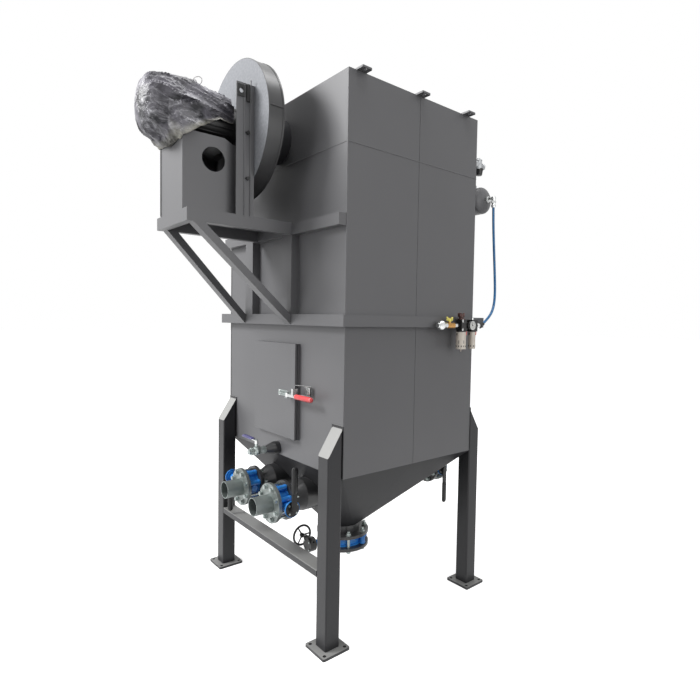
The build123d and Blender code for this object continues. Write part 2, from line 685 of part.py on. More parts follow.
keeper_end_x = keeper_x + keeper_w
bar_x = keeper_end_x + loop_wire / 2 + 1.5
with BuildPart() as latch_loop:
    cylinder((*loop_pivot, loop_z - loop_half), (0, 0, 1), loop_wire / 2, 2 * loop_half)
    for side in (-1, 1):
        z = loop_z + side * loop_half
        rod_run = Vector(bar_x, front_y - 18, z) - Vector(*loop_pivot, z)
        cylinder((*loop_pivot, z), tuple(rod_run.normalized()), loop_wire / 2, rod_run.length)
        with Locations((*loop_pivot, z), (bar_x, front_y - 18, z)):
            Sphere(loop_wire / 2)
    cylinder((bar_x, front_y - 18, loop_z - loop_half), (0, 0, 1), loop_wire / 2, 2 * loop_half)
save(latch_loop, "latch_loop")

with BuildPart() as latch_keeper:
    keeper_z0, keeper_z1 = loop_z - keeper_h / 2, loop_z + keeper_h / 2
    box(keeper_x, keeper_end_x, front_y - 4, front_y, keeper_z0, keeper_z1)
    box(keeper_end_x - 4, keeper_end_x, front_y - 22, front_y, keeper_z0, keeper_z1)
    box(keeper_x, keeper_end_x, front_y - 14, front_y, keeper_z1 - 4, keeper_z1)
    box(keeper_x, keeper_end_x, front_y - 14, front_y, keeper_z0, keeper_z0 + 4)
save(latch_keeper, "latch_keeper")

# Motor pedestal: folded plate box, open below, with a round hand hole in each side and
# its top stepping down on a slope behind the motor's feet.
pedestal_x0 = fan_x - pedestal_half
pedestal_x1 = fan_x + pedestal_half
pedestal_back_y = fan_front_y - 40
pedestal_hole_y = platform_front_y + pedestal_hole_in
pedestal_hole_z = pedestal_top_z - pedestal_hole_drop
slope_back_y = pedestal_back_y - 45
slope_front_y = slope_back_y - 50


def pedestal_side(inset, bottom_z):
    """The pedestal seen from the right, drawn in by its plate's thickness for the hollow."""
    top = pedestal_top_z - inset
    front, back = platform_front_y + inset, pedestal_back_y - inset
    shift = inset / 2
    return [(front, bottom_z), (front, top), (slope_front_y - shift, top),
            (slope_back_y - shift, top - pedestal_fall), (back, top - pedestal_fall), (back, bottom_z)]


with BuildPart() as motor_pedestal:
    with BuildSketch(Plane.YZ.offset(pedestal_x0)):
        with BuildLine():
            Polyline(*pedestal_side(0.0, deck_top_z), close=True)
        make_face()
    extrude(amount=2 * pedestal_half)
    with BuildSketch(Plane.YZ.offset(pedestal_x0 + pedestal_sheet)):
        with BuildLine():
            Polyline(*pedestal_side(pedestal_sheet, deck_top_z), close=True)
        make_face()
    extrude(amount=2 * (pedestal_half - pedestal_sheet), mode=Mode.SUBTRACT)
    cylinder((pedestal_x0, pedestal_hole_y, pedestal_hole_z), (1, 0, 0), pedestal_hole_r,
             2 * pedestal_half, mode=Mode.SUBTRACT)
save(motor_pedestal, "motor_pedestal")

# The wrapped motor: feet on the pedestal, body and terminal box under a plastic sheet, and
# before the pedestal the sheet's slack, which hangs lower. Each section is given from the
# platform's front and the shaft: place, half width, half height and height of its middle.
motor_back_y = fan_front_y - 22.0
film_sections = [
    (-186, 60, 80, 16), (-168, 128, 158, 12), (-104, 168, 187, 4), (-45, 172, 187, 4), (-2, 170, 162, 30),
    (32, 165, 150, 40), (123, 138, 104, 51), (232, 115, 92, 38), (motor_back_y - platform_front_y, 100, 86, 36),
]
droop_y = platform_front_y - 2
with BuildPart() as wrapped_motor:
    for reach, across, tall, rise in film_sections:
        place = (fan_x, platform_front_y + reach, fan_z + rise)
        with BuildSketch(Plane(origin=place, z_dir=(0, 1, 0), x_dir=(1, 0, 0))):
            Ellipse(across, tall)
    loft(ruled=True)
    box(pedestal_x0 - 200, pedestal_x1 + 200, droop_y, motor_back_y + 10, platform_top_z,
        pedestal_top_z + 14, mode=Mode.SUBTRACT)
    box(pedestal_x0 - 200, pedestal_x1 + 200, droop_y, droop_y + weld_gap, platform_top_z,
        fan_z + fan_r, mode=Mode.SUBTRACT)
    for side in (-1, 1):
        x0, x1 = sorted((fan_x + side * 60, fan_x + side * 115))
        box(x0, x1, platform_front_y + 22, slope_front_y - 25, pedestal_top_z, pedestal_top_z + 20)
save(wrapped_motor, "wrapped_motor")

# Fan casing: a narrow drum with its outlet on the far side, closed by the flat drive side plate.
with BuildPart() as fan_plate:
    cylinder((fan_x, fan_front_y, fan_z), (0, 1, 0), fan_r, fan_plate_t)
save(fan_plate, "fan_plate")

with BuildPart() as fan_casing:
    cylinder((fan_x, fan_front_y + fan_plate_t, fan_z), (0, 1, 0), fan_r, fan_depth - fan_plate_t)
    outlet_z0, outlet_z1 = fan_z - fan_r + 6, fan_z - 150
    box(fan_outlet_x, fan_x - fan_r / 3, fan_front_y + 8, fan_back_y - 8, outlet_z0, outlet_z1)
    box(fan_outlet_x, fan_outlet_x + 8, fan_front_y - 17, fan_back_y + 17, outlet_z0 - 25, outlet_z1 + 25)
    box(fan_outlet_x, fan_outlet_x + 90, fan_front_y + 8 + sheet, fan_back_y - 8 - sheet,
        outlet_z0 + sheet, outlet_z1 - sheet, mode=Mode.SUBTRACT)
save(fan_casing, "fan_casing")

with BuildPart() as fan_duct:
    pipe((fan_x, fan_back_y, fan_z), (0, 1, 0), fan_duct_r, sheet, front_y - fan_back_y)
    flange((fan_x, fan_back_y, fan_z), (0, 1, 0), fan_duct_r + 30, fan_duct_r - 1, 6, 2 * fan_duct_r + 34, 8, 5.0)
save(fan_duct, "fan_duct")

# Two folded uprights stand on the deck and carry the drive side plate by its flanges.
with BuildPart() as fan_uprights:
    for side in (-1, 1):
        x = fan_x + side * (platform_right_x - fan_x)
        x0, x1 = sorted((x, x - side * 4))
        box(x0, x1, upright_y, fan_front_y, deck_top_z, upright_top_z)
        for y in (upright_y + 50, fan_front_y - 4):
            f0, f1 = sorted((x, x - side * upright_flange))
            box(f0, f1, y, y + 4, deck_top_z, upright_top_z)
        cylinder((x0 - 1, upright_y + 25, upright_top_z - 42), (1, 0, 0), 11.0, 6, mode=Mode.SUBTRACT)
save(fan_uprights, "fan_uprights")

# Pulse air tank on the back wall, with its valves.
with BuildPart() as header_tank:
    cylinder((tank_left_x, tank_y, tank_z), (1, 0, 0), tank_r, tank_right_x - tank_left_x)
    for x, way in ((tank_left_x, -1), (tank_right_x, 1)):
        with BuildSketch(Plane.XZ.offset(-tank_y)):
            with Locations((x, tank_z)):
                Ellipse(tank_dome, tank_r)
            with Locations((x + way * tank_dome / 2, tank_z + tank_r / 2)):
                Rectangle(tank_dome, tank_r, mode=Mode.INTERSECT)
        revolve(axis=Axis((0, tank_y, tank_z), (1, 0, 0)))
    for x in (-380.0, 380.0):
        box(x - 20, x + 20, half_d, tank_y - tank_r + 20, tank_z - 60, tank_z + 60)
    cylinder((tank_right_x + tank_dome - 4, tank_y, tank_z), (1, 0, 0), 16.0, 14)
save(header_tank, "header_tank")

# Each valve: a riser from the tank, an upright head with its cap, knob and coil, and the
# blow pipe that enters the plenum.
with BuildPart() as pulse_valves:
    for x in pulse_x:
        cylinder((x, tank_y - 50, tank_z + tank_r / 2), (0, 0, 1), 18.0, pulse_rise - tank_r / 2)
        cylinder((x, half_d - sheet, pulse_z), (0, 1, 0), pulse_pipe_r, tank_y - half_d + sheet)
        cylinder((x, tank_y, pulse_z - 29), (0, 0, 1), 22.0, 59)
        cylinder((x, tank_y, pulse_z - 8), (0, 1, 0), 18.0, 45)
        cylinder((x, tank_y, pulse_z + 30), (0, 0, 1), 9.0, 11)
        cone((x, tank_y + 8, pulse_z - 64), (0, 0, 1), 18.0, 24.0, 35)
    cylinder((tank_left_x - 60, tank_y, tank_z), (1, 0, 0), tank_r + fit_gap,
             tank_right_x - tank_left_x + 120, mode=Mode.SUBTRACT)
save(pulse_valves, "pulse_valves")

# Air service unit on the belt: coupler, shut-off valve, regulator and lubricator in one line.
belt_face_x = half_w + belt_out
air_line_y = half_d - air_inset
nut_y = air_line_y + 36.0
shutoff_body_y = nut_y + 39.0
shutoff_y = air_line_y + 101.0
second_nut_y = shutoff_body_y + 61.0
neck_y = second_nut_y + 22.0
regulator_y = air_line_y + 204.0
lubricator_y = regulator_y + 101.0
head_half_h = 34.0

# The hose's route from the tank's end down to the service unit.
elbow_x = air_x - 65.0
hose_top_z = tank_z - 59.0
hose_end_y = lubricator_y + 101.0
hose_route = [
    (elbow_x, tank_y, hose_top_z), (elbow_x, tank_y + 3, hose_top_z - 96),
    (elbow_x + 1, tank_y + 17, air_z + 478), (elbow_x + 6, tank_y + 25, air_z + 328),
    (elbow_x + 17, tank_y + 19, air_z + 198), (elbow_x + 33, tank_y - 15, air_z + 113),
    (elbow_x + 51, hose_end_y + 84, air_z + 54), (air_x, hose_end_y, air_z + 12),
]
hose_end = Vector(*hose_route[-1])
hose_end_dir = (hose_end - Vector(*hose_route[-2])).normalized()

with BuildPart() as air_unit:
    for y, w in ((regulator_y, 42.0), (lubricator_y, 44.0)):
        box(belt_face_x, air_x, y - 16, y + 16, air_z - 20, air_z + 20)
        box(air_x - w / 2, air_x + w / 2, y - w / 2, y + w / 2, air_z - head_half_h, air_z + head_half_h)
    box(air_x - 14, air_x + 14, regulator_y, lubricator_y, air_z - 22, air_z + 22)
    cylinder((air_x, neck_y, air_z), (0, 1, 0), 10.0, regulator_y - neck_y)
    cylinder((air_x, lubricator_y, air_z), (0, 1, 0), 12.0, 70)
    cylinder(tuple(hose_end + hose_end_dir * fit_gap), tuple(hose_end_dir), 12.0, 40)
    cylinder((air_x, regulator_y, air_z + head_half_h), (0, 0, 1), 22.0, 5)
    cylinder((air_x, regulator_y, air_z + head_half_h), (0, 0, 1), 13.0, 15)
    cylinder((air_x, regulator_y, air_z + head_half_h + 15), (0, 0, 1), 18.0, 21)
    cylinder((air_x, lubricator_y, air_z + head_half_h), (0, 0, 1), 6.0, 8)
save(air_unit, "air_unit")

with BuildPart() as air_bowls:
    for y, r in ((regulator_y, 29.0), (lubricator_y, 21.0)):
        cylinder((air_x, y, air_z - head_half_h), (0, 0, -1), r, 103)
    cylinder((air_x, regulator_y, air_z - head_half_h - 103), (0, 0, -1), 3.5, 15)
save(air_bowls, "air_bowls")

with BuildPart() as air_coupler:
    cylinder((air_x, air_line_y, air_z), (0, 1, 0), 12.0, 14)
    cone((air_x, air_line_y + 12, air_z), (0, 1, 0), 17.0, 26.0, 8)
    cylinder((air_x, air_line_y + 20, air_z), (0, 1, 0), 26.0, 16)
    cylinder((air_x, nut_y, air_z), (0, 1, 0), 15.5, shutoff_body_y - nut_y)
    cylinder((air_x, second_nut_y, air_z), (0, 1, 0), 14.5, neck_y - second_nut_y)
save(air_coupler, "air_coupler")

shutoff_bonnet_h = 20.0
with BuildPart() as shutoff_valve:
    cylinder((air_x, shutoff_body_y, air_z), (0, 1, 0), 16.5, second_nut_y - shutoff_body_y)
    cylinder((air_x, shutoff_y, air_z), (0, 0, 1), 8.0, shutoff_bonnet_h)
    cylinder((air_x, shutoff_y, air_z), (0, 0, 1), 3.0, shutoff_bonnet_h + 24)
save(shutoff_valve, "shutoff_valve")

with BuildPart() as shutoff_handle:
    cylinder((air_x, shutoff_y, air_z + shutoff_bonnet_h + fit_gap), (0, 0, 1), 10.0, 12)
    box(air_x - 6, air_x + 6, shutoff_y - 27, shutoff_y + 27, air_z + shutoff_bonnet_h + 10,
        air_z + shutoff_bonnet_h + 28)
    cylinder((air_x, shutoff_y, air_z), (0, 0, 1), 3.0 + running, 60, mode=Mode.SUBTRACT)
save(shutoff_handle, "shutoff_handle")

# Elbow on the tank's end, and the hose.
elbow_bottom_z = hose_top_z + 2 * fit_gap
with BuildPart() as hose_elbow:
    cylinder((tank_right_x + tank_dome + 10, tank_y, tank_z), (1, 0, 0), 11.0,
             elbow_x - tank_right_x - tank_dome - 10)
    with Locations((elbow_x, tank_y, tank_z)):
        Sphere(15.0)
    cylinder((elbow_x, tank_y, tank_z), (0, 0, -1), 12.0, tank_z - elbow_bottom_z)
save(hose_elbow, "hose_elbow")


def corner_radii(route):
    """The largest arc that each corner of the route leaves room for."""
    radii = []
    for before, here, after in zip(route, route[1:], route[2:]):
        inward, outward = Vector(*here) - Vector(*before), Vector(*after) - Vector(*here)
        turn = math.radians(inward.get_angle(outward))
        radii.append(0.45 * min(inward.length, outward.length) / math.tan(turn / 2))
    return radii


hose_radii = corner_radii(hose_route)
print("hose corner radii", [round(r) for r in hose_radii])
with BuildPart() as air_hose:
    with BuildLine() as hose_line:
        FilletPolyline(*hose_route, radius=hose_radii)
    first_run = Vector(*hose_route[1]) - Vector(*hose_route[0])
    with BuildSketch(Plane(origin=hose_route[0], z_dir=tuple(first_run))):
        Circle(hose_r)
    sweep()
hose_length = sum(edge.length for edge in hose_line.line.edges())
print("hose length", round(hose_length), "volume ratio",
      round(air_hose.part.volume / (math.pi * hose_r ** 2 * hose_length), 4))
save(air_hose, "air_hose")

# Purge connection under the door: a reducer and a small ball valve with its lever.
reducer_len = 55.0
purge_neck = 30.0
purge_start_y = front_y - purge_neck - reducer_len
with BuildPart() as purge_pipe:
    pipe((port_x, front_y - purge_neck, port_z), (0, 1, 0), port_r, stub_wall, purge_neck)
    cone((port_x, purge_start_y, port_z), (0, 1, 0), 20.0, port_r, reducer_len)
    cone((port_x, purge_start_y, port_z), (0, 1, 0), 20.0 - stub_wall, port_r - stub_wall, reducer_len,
         mode=Mode.SUBTRACT)
save(purge_pipe, "purge_pipe")

purge_valve_y = purge_start_y - 57.0
purge_ball_r = 27.0
purge_body_r = 20.0
purge_tail_r = 15.0
purge_body_end_y = purge_valve_y - 34.0
purge_end_y = purge_body_end_y - 16.0
purge_stem_top_z = port_z + 59.0
with BuildPart() as purge_valve:
    cylinder((port_x, purge_body_end_y, port_z), (0, 1, 0), purge_body_r, purge_start_y - purge_body_end_y)
    cylinder((port_x, purge_end_y, port_z), (0, 1, 0), purge_tail_r, 20.0)
    with Locations((port_x, purge_valve_y, port_z)):
        Sphere(purge_ball_r)
    cylinder((port_x, purge_valve_y, port_z), (0, 0, 1), 9.0, purge_ball_r + 13)
    cylinder((port_x, purge_valve_y, port_z), (0, 0, 1), 5.0, purge_stem_top_z - port_z)
save(purge_valve, "purge_valve")

with BuildPart() as purge_lever:
    hub_z = port_z + purge_ball_r + 13 + fit_gap
    cylinder((port_x, purge_valve_y, hub_z), (0, 0, 1), 10.0, purge_stem_top_z + 3 - hub_z)
    box(port_x - 160, port_x + 8, purge_valve_y - 9, purge_valve_y + 9, purge_stem_top_z - 2, purge_stem_top_z + 3)
    cylinder((port_x, purge_valve_y, port_z), (0, 0, 1), 5.0 + running, 80, mode=Mode.SUBTRACT)
save(purge_lever, "purge_lever")
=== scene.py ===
import math

import bmesh
import bpy
from mathutils import Matrix, Vector, noise


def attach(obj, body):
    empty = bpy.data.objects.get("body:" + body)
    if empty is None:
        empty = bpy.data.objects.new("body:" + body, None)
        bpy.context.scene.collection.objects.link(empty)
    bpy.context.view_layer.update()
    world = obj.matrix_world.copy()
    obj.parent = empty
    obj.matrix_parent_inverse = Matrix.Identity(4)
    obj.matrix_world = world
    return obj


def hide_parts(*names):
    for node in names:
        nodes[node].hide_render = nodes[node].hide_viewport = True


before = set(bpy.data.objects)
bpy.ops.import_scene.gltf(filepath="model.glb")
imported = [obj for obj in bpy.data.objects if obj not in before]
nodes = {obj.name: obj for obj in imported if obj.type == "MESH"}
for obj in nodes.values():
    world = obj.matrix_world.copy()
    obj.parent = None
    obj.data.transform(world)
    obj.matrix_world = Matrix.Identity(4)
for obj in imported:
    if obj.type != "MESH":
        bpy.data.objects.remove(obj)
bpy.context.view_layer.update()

# The camera stands where the photograph was taken from, right of the front corner and a little
# below the belt's height. Its place, turn and lens were solved from the housing's edges, in
# pixels of a square frame.
frame_pixels, sensor_width = 700, 36
focal_pixels, centre_across, centre_down = 512.36, 362.41, 341.87
camera_place = (2.6436, -2.0617, 1.6738)
yaw, pitch, roll = math.radians(50.163), math.radians(-2.4345), math.radians(0.986)
camera_data = bpy.data.cameras.new("camera")
camera_data.sensor_width = sensor_width
camera_data.lens = focal_pixels * sensor_width / frame_pixels
camera_data.shift_x = (frame_pixels / 2 - centre_across) / frame_pixels
camera_data.shift_y = (centre_down - frame_pixels / 2) / frame_pixels
camera_data.clip_end = 100
camera = bpy.data.objects.new("camera", camera_data)
bpy.context.scene.collection.objects.link(camera)
bpy.context.scene.camera = camera
forward = Vector((-math.sin(yaw) * math.cos(pitch), math.cos(yaw) * math.cos(pitch), math.sin(pitch)))
level = forward.cross(Vector((0, 0, 1))).normalized()
upright = level.cross(forward)
camera_right = level * math.cos(roll) + upright * math.sin(roll)
camera_up = upright * math.cos(roll) - level * math.sin(roll)
turn = Matrix((camera_right, camera_up, -forward)).transposed().to_4x4()
camera.matrix_world = Matrix.Translation(camera_place) @ turn

# The air hose from the tank's end to the service unit: 16 mm polyurethane tube, extruded and
# cut to length, pushed into a fitting at each end. It hangs in one slack bend.
hose_route = [
    (0.655, 0.655, 2.396), (0.655, 0.658, 2.300), (0.656, 0.672, 2.130), (0.661, 0.680, 1.980),
    (0.672, 0.674, 1.850), (0.688, 0.640, 1.765), (0.706, 0.576, 1.706), (0.720, 0.492, 1.664),
]
hose_radius = 0.008
hose_curve = bpy.data.curves.new("air_hose_line", "CURVE")
hose_curve.dimensions = "3D"
hose_curve.bevel_depth = hose_radius
hose_curve.bevel_resolution = 5
hose_curve.resolution_u = 24
hose_curve.use_fill_caps = True
hose_spline = hose_curve.splines.new("NURBS")
hose_spline.points.add(len(hose_route) - 1)
for point, place in zip(hose_spline.points, hose_route):
    point.co = (*place, 1)
hose_spline.order_u = 3
hose_spline.use_endpoint_u = True
hose = bpy.data.objects.new("blue_air_hose", hose_curve)
bpy.context.scene.collection.objects.link(hose)


def colour(code):
    """An sRGB hex colour as the linear values that a shader takes."""
    parts = [int(code[i:i + 2], 16) / 255 for i in (1, 3, 5)]
    return (*[c / 12.92 if c <= 0.04045 else ((c + 0.055) / 1.055) ** 2.4 for c in parts], 1)


def add_node(tree, kind, settings, *links):
    """A node with its settings, by attribute or by socket, and the links into it."""
    node = tree.nodes.new(kind)
    for name, value in settings.items():
        if isinstance(name, int) or name in node.inputs:
            node.inputs[name].default_value = value
        else:
            setattr(node, name, value)
    for source, socket in links:
        tree.links.new(source, node.inputs[socket])
    return node


def new_finish(name, **settings):
    """An empty finish: its node tree, its surface shader and its pattern coordinates."""
    finish = bpy.data.materials.new(name)
    finish.use_nodes = True
    tree = finish.node_tree
    shader = tree.nodes["Principled BSDF"]
    for socket, value in settings.items():
        shader.inputs[socket.replace("_", " ")].default_value = value
    place = add_node(tree, "ShaderNodeTexCoord", {}).outputs["Object"]
    return finish, tree, shader, place


def mottled(name, grain_mm, dark, light, detail=2.0, dents=None, **settings):
    """A finish that wanders between two shades in grains of a width in millimetres.

    The real grain is often finer than a millimetre, and is drawn this coarse so that it shows.
    dents gives how strongly and how deep, in metres, the same grain also dimples the surface.
    """
    finish, tree, shader, place = new_finish(name, **settings)
    grain = add_node(tree, "ShaderNodeTexNoise", {"Scale": 1000 / grain_mm, "Detail": detail},
                     (place, "Vector"))
    shade = add_node(tree, "ShaderNodeMix", {"data_type": "RGBA", 6: colour(dark), 7: colour(light)},
                     (grain.outputs["Fac"], 0))
    tree.links.new(shade.outputs[2], shader.inputs["Base Color"])
    if dents:
        dimples = add_node(tree, "ShaderNodeBump", {"Strength": dents[0], "Distance": dents[1]},
                           (grain.outputs["Fac"], "Height"))
        tree.links.new(dimples.outputs[0], shader.inputs["Normal"])
    return finish


# Extruded polyurethane, blue all through: an even sheen with faint drawing marks.
blue_tube = mottled("blue extruded polyurethane", 16.7, "#1a5f96", "#2a7db8", Roughness=0.3, IOR=1.5)
hose.data.materials.append(blue_tube)
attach(hose, "housing")
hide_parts("air_hose")

# Floor and studio: a plain pale floor in a white room. The strongest soft lamp stands high at the
# front's left, and weaker ones low before the front, on the right and over the roof. The floor
# throws little light back up.
floor_half, floor_glow, room_light = 60, 0.78, 0.34
floor_mesh = bpy.data.meshes.new("floor")
bm = bmesh.new()
bmesh.ops.create_grid(bm, x_segments=1, y_segments=1, size=floor_half)
bm.to_mesh(floor_mesh)
bm.free()
floor = bpy.data.objects.new("floor", floor_mesh)
bpy.context.scene.collection.objects.link(floor)


def seen_directly(tree):
    """1 for rays from the camera, or by way of metal or glass, and 0 for light that only bounces."""
    path = add_node(tree, "ShaderNodeLightPath", {})
    either = add_node(tree, "ShaderNodeMath", {"operation": "MAXIMUM"}, (path.outputs["Is Camera Ray"], 0),
                      (path.outputs["Is Glossy Ray"], 1))
    return add_node(tree, "ShaderNodeMath", {"operation": "MAXIMUM"}, (either.outputs[0], 0),
                    (path.outputs["Is Transmission Ray"], 1)).outputs[0]


# Pale matt floor: white to the eye, with the machine's shadow on it, and dull to bounced light.
pale_floor, tree, shader, place = new_finish("pale floor", Roughness=0.9)
shader.inputs["Base Color"].default_value = colour("#e8e8e8")
glow = add_node(tree, "ShaderNodeEmission", {"Color": (1, 1, 1, 1), "Strength": floor_glow})
lit = add_node(tree, "ShaderNodeAddShader", {}, (shader.outputs[0], 0), (glow.outputs[0], 1))
dull = add_node(tree, "ShaderNodeBsdfDiffuse", {"Color": colour("#3c3c3e")})
shown = add_node(tree, "ShaderNodeMixShader", {}, (seen_directly(tree), 0), (dull.outputs[0], 1),
                 (lit.outputs[0], 2))
tree.links.new(shown.outputs[0], tree.nodes["Material Output"].inputs["Surface"])
floor.data.materials.append(pale_floor)

room = bpy.data.worlds.new("white room")
bpy.context.scene.world = room
room.use_nodes = True
tree = room.node_tree
sky = tree.nodes["Background"]
sky.inputs["Color"].default_value = (1, 1, 1, 1)
sky.inputs["Strength"].default_value = room_light
white = add_node(tree, "ShaderNodeBackground", {"Color": (1, 1, 1, 1), "Strength": 1.0})
shown = add_node(tree, "ShaderNodeMixShader", {}, (seen_directly(tree), 0), (sky.outputs[0], 1),
                 (white.outputs[0], 2))
tree.links.new(shown.outputs[0], tree.nodes["World Output"].inputs["Surface"])
bpy.context.scene.view_settings.view_transform = "Standard"

for name, place, target, size, watts in (
        ("key_softbox", (-2.2, -4.7, 5.0), (0, -0.2, 1.3), 1.8, 300),
        ("front_softbox", (-0.8, -5.4, 2.0), (0, 0, 1.6), 3.0, 105),
        ("right_softbox", (5.0, 0.0, 2.4), (0, 0, 1.5), 3.0, 66),
        ("top_softbox", (0.5, -0.5, 6.0), (0, 0, 2.0), 3.0, 150)):
    lamp_data = bpy.data.lights.new(name, "AREA")
    lamp_data.size = size
    lamp_data.energy = watts
    lamp = bpy.data.objects.new(name, lamp_data)
    bpy.context.scene.collection.objects.link(lamp)
    lamp.location = place
    lamp.rotation_euler = (Vector(target) - Vector(place)).to_track_quat("-Z", "Y").to_euler()


# Housing and frame: steel sheet and square tube, welded, blasted and powder coated in a dark
# semi-gloss grey. Long faces show a slow change of shade and a faint orange peel.
def powder_coat(name, dark, light, roughness, ior=1.5, painted_top_light=0.0, specular=0.5):
    """Baked powder: slow clouds 0.8 m wide, a dimpled skin and painted light from above on what faces up.

    The dimples of the skin are about 2 mm wide, and are drawn at 6 mm so that they show.
    """
    finish, tree, shader, place = new_finish(name, IOR=ior, Specular_IOR_Level=specular)
    cloud = add_node(tree, "ShaderNodeTexNoise", {"Scale": 1000 / 770, "Detail": 3.0, "Roughness": 0.55},
                     (place, "Vector"))
    tint = add_node(tree, "ShaderNodeMix", {"data_type": "RGBA", 6: colour(dark), 7: colour(light)},
                    (cloud.outputs["Fac"], 0))
    gloss = add_node(tree, "ShaderNodeMapRange", {"To Min": roughness - 0.06, "To Max": roughness + 0.08},
                     (cloud.outputs["Fac"], "Value"))
    peel = add_node(tree, "ShaderNodeTexNoise", {"Scale": 1000 / 6.25, "Detail": 1.0}, (place, "Vector"))
    skin = add_node(tree, "ShaderNodeBump", {"Strength": 0.06, "Distance": 0.002},
                    (peel.outputs["Fac"], "Height"))
    normal = add_node(tree, "ShaderNodeNewGeometry", {}).outputs["Normal"]
    facing = add_node(tree, "ShaderNodeSeparateXYZ", {}, (normal, 0))
    # Faces that look up are mixed towards pale grey #b4b4b2: painted light from above.
    upward = add_node(tree, "ShaderNodeMapRange", {"From Min": 0.2, "From Max": 0.45, "To Max": painted_top_light},
                      (facing.outputs["Z"], "Value"))
    top_lit_tone = add_node(tree, "ShaderNodeMix", {"data_type": "RGBA", 7: colour("#b4b4b2")},
                     (upward.outputs[0], 0), (tint.outputs[2], 6))
    tree.links.new(top_lit_tone.outputs[2], shader.inputs["Base Color"])
    tree.links.new(gloss.outputs[0], shader.inputs["Roughness"])
    tree.links.new(skin.outputs[0], shader.inputs["Normal"])
    return finish


def finish_nodes(finish, *names):
    """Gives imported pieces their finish."""
    for name in names:
        nodes[name].data.materials.clear()
        nodes[name].data.materials.append(finish)


# The walls look mid grey and even. The legs are darker, with painted light from above on their sloped tops,
# and the foot plates and the low rail are rubbed duller by shoes and straps and get the same painted light
# on their tops.
grey_coat = powder_coat("dark grey powder coat on sheet", "#606062", "#6c6c6e", 0.42)
frame_coat = powder_coat("dark grey powder coat on tube", "#28282a", "#323234", 0.38, 1.36, painted_top_light=0.85)
rubbed_coat = powder_coat("rubbed grey powder coat on plate", "#2c2c2d", "#38383a", 0.45, 1.4, painted_top_light=0.55)
finish_nodes(grey_coat, "front_wall", "back_wall", "left_wall", "right_wall", "plenum_end_walls",
             "plenum_side_walls", "roof", "roof_lugs", "door", "door_frame", "motor_pedestal", "header_tank",
             "belt", "ledger", "bracket_posts", "platform_frame", "platform_deck", "braces",
             "hinge_lugs", "hinge_leaves", "fan_uprights")
finish_nodes(frame_coat, "legs", "leg_pads")
finish_nodes(rubbed_coat, "foot_plates", "front_rail")

# Hopper and fan inlet: folded sheet, near black and matt; the near black is partly their own dark coat
# and partly painted shade, for the shade under the housing and behind the fan. Inlet ducts, purge reducer,
# outlet collar and fan drum: rolled sheet with a dark glossy coat, a little lighter and glossy.
shade_darkened_coat = powder_coat("near black matt powder coat on sheet", "#303032", "#3e3e40", 0.45, 1.3,
                        specular=0.15)
finish_nodes(shade_darkened_coat, "hopper", "fan_duct")
gloss_coat = powder_coat("dark gloss powder coat on rolled sheet", "#363637", "#444445", 0.3)
finish_nodes(gloss_coat, "nozzle_ducts", "purge_pipe", "fan_casing", "outlet_collar", "outlet_flange")

# Flange bolts of the two inlets, the back nozzle and the outlet: zinc plated M16 and M20 bolts
# that run through the valve from flange to flange, with a washer and a nut at each end.
valve_places = ((-0.175, -0.601, 0.652), (0.175, -0.601, 0.652), (0.180, 0.645, 0.650))
valve_grip, valve_pcd, valve_hole = 0.1092, 0.180, 0.009
outlet_valve_z, outlet_face_z, outlet_grip, outlet_pcd, outlet_hole = 0.251, 0.2017, 0.0983, 0.295, 0.011

# Bolt plating is thin, so it looks like dull silver with a faint 11 mm spangle.
zinc, tree, shader, place = new_finish("zinc plated steel", Metallic=0.85, Roughness=0.38)
spangle = add_node(tree, "ShaderNodeTexVoronoi", {"Scale": 1000 / 11.1}, (place, "Vector"))
tone = add_node(tree, "ShaderNodeMix", {"data_type": "RGBA", 6: colour("#7f8886"), 7: colour("#adb4b2")},
                (spangle.outputs["Distance"], 0))
tree.links.new(tone.outputs[2], shader.inputs["Base Color"])


def finished(name, bm, body, finish, smooth=None):
    """A mesh made into a piece that rides on a body; smooth is the angle under which edges are soft."""
    bmesh.ops.recalc_face_normals(bm, faces=bm.faces)
    mesh = bpy.data.meshes.new(name)
    bm.to_mesh(mesh)
    bm.free()
    if smooth is not None:
        mesh.shade_smooth()
        mesh.set_sharp_from_angle(angle=math.radians(smooth))
    piece = bpy.data.objects.new(name, mesh)
    bpy.context.scene.collection.objects.link(piece)
    mesh.materials.append(finish)
    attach(piece, body)
    return piece


def aim(place, direction):
    """Where a shape that stands along +Z goes, to stand at a place along a direction."""
    return Matrix.Translation(place) @ Vector(direction).to_track_quat("Z", "Y").to_matrix().to_4x4()


def round_bar(bm, start, direction, length, radius, end_radius=None, sides=24):
    """A round or, with six sides, a hexagon bar from a point along a direction."""
    end_radius = radius if end_radius is None else end_radius
    middle = Vector(start) + Vector(direction).normalized() * (length / 2)
    bmesh.ops.create_cone(bm, cap_ends=True, segments=sides, radius1=radius, radius2=end_radius,
                          depth=length, matrix=aim(middle, direction))


def steps_round(count, shift=0.5):
    """The angles of even steps round a circle; shift is where the first one stands, in steps."""
    return [math.tau * (k + shift) / count for k in range(count)]


def through_bolts(bm, centre, direction, grip, pcd, hole):
    """Eight bolts on a circle; grip is the distance from face to face of the clamped stack."""
    head_end, thread_end, washer, nut = 0.016, 0.028, 0.003, 0.012
    bolt_radius, washer_radius, nut_radius = hole * 0.82, hole * 1.65, hole * 1.38
    axis = Vector(direction)
    side = axis.orthogonal().normalized()
    for angle in steps_round(8):
        foot = Vector(centre) + Matrix.Rotation(angle, 3, axis) @ side * (pcd / 2)
        length = head_end + grip + thread_end
        round_bar(bm, foot - axis * head_end, direction, length, bolt_radius, sides=10)
        for start, way in ((foot, -1), (foot + axis * grip, 1)):
            round_bar(bm, start, axis * way, washer, washer_radius, sides=16)
            round_bar(bm, start + axis * way * washer, axis * way, nut, nut_radius, sides=6)


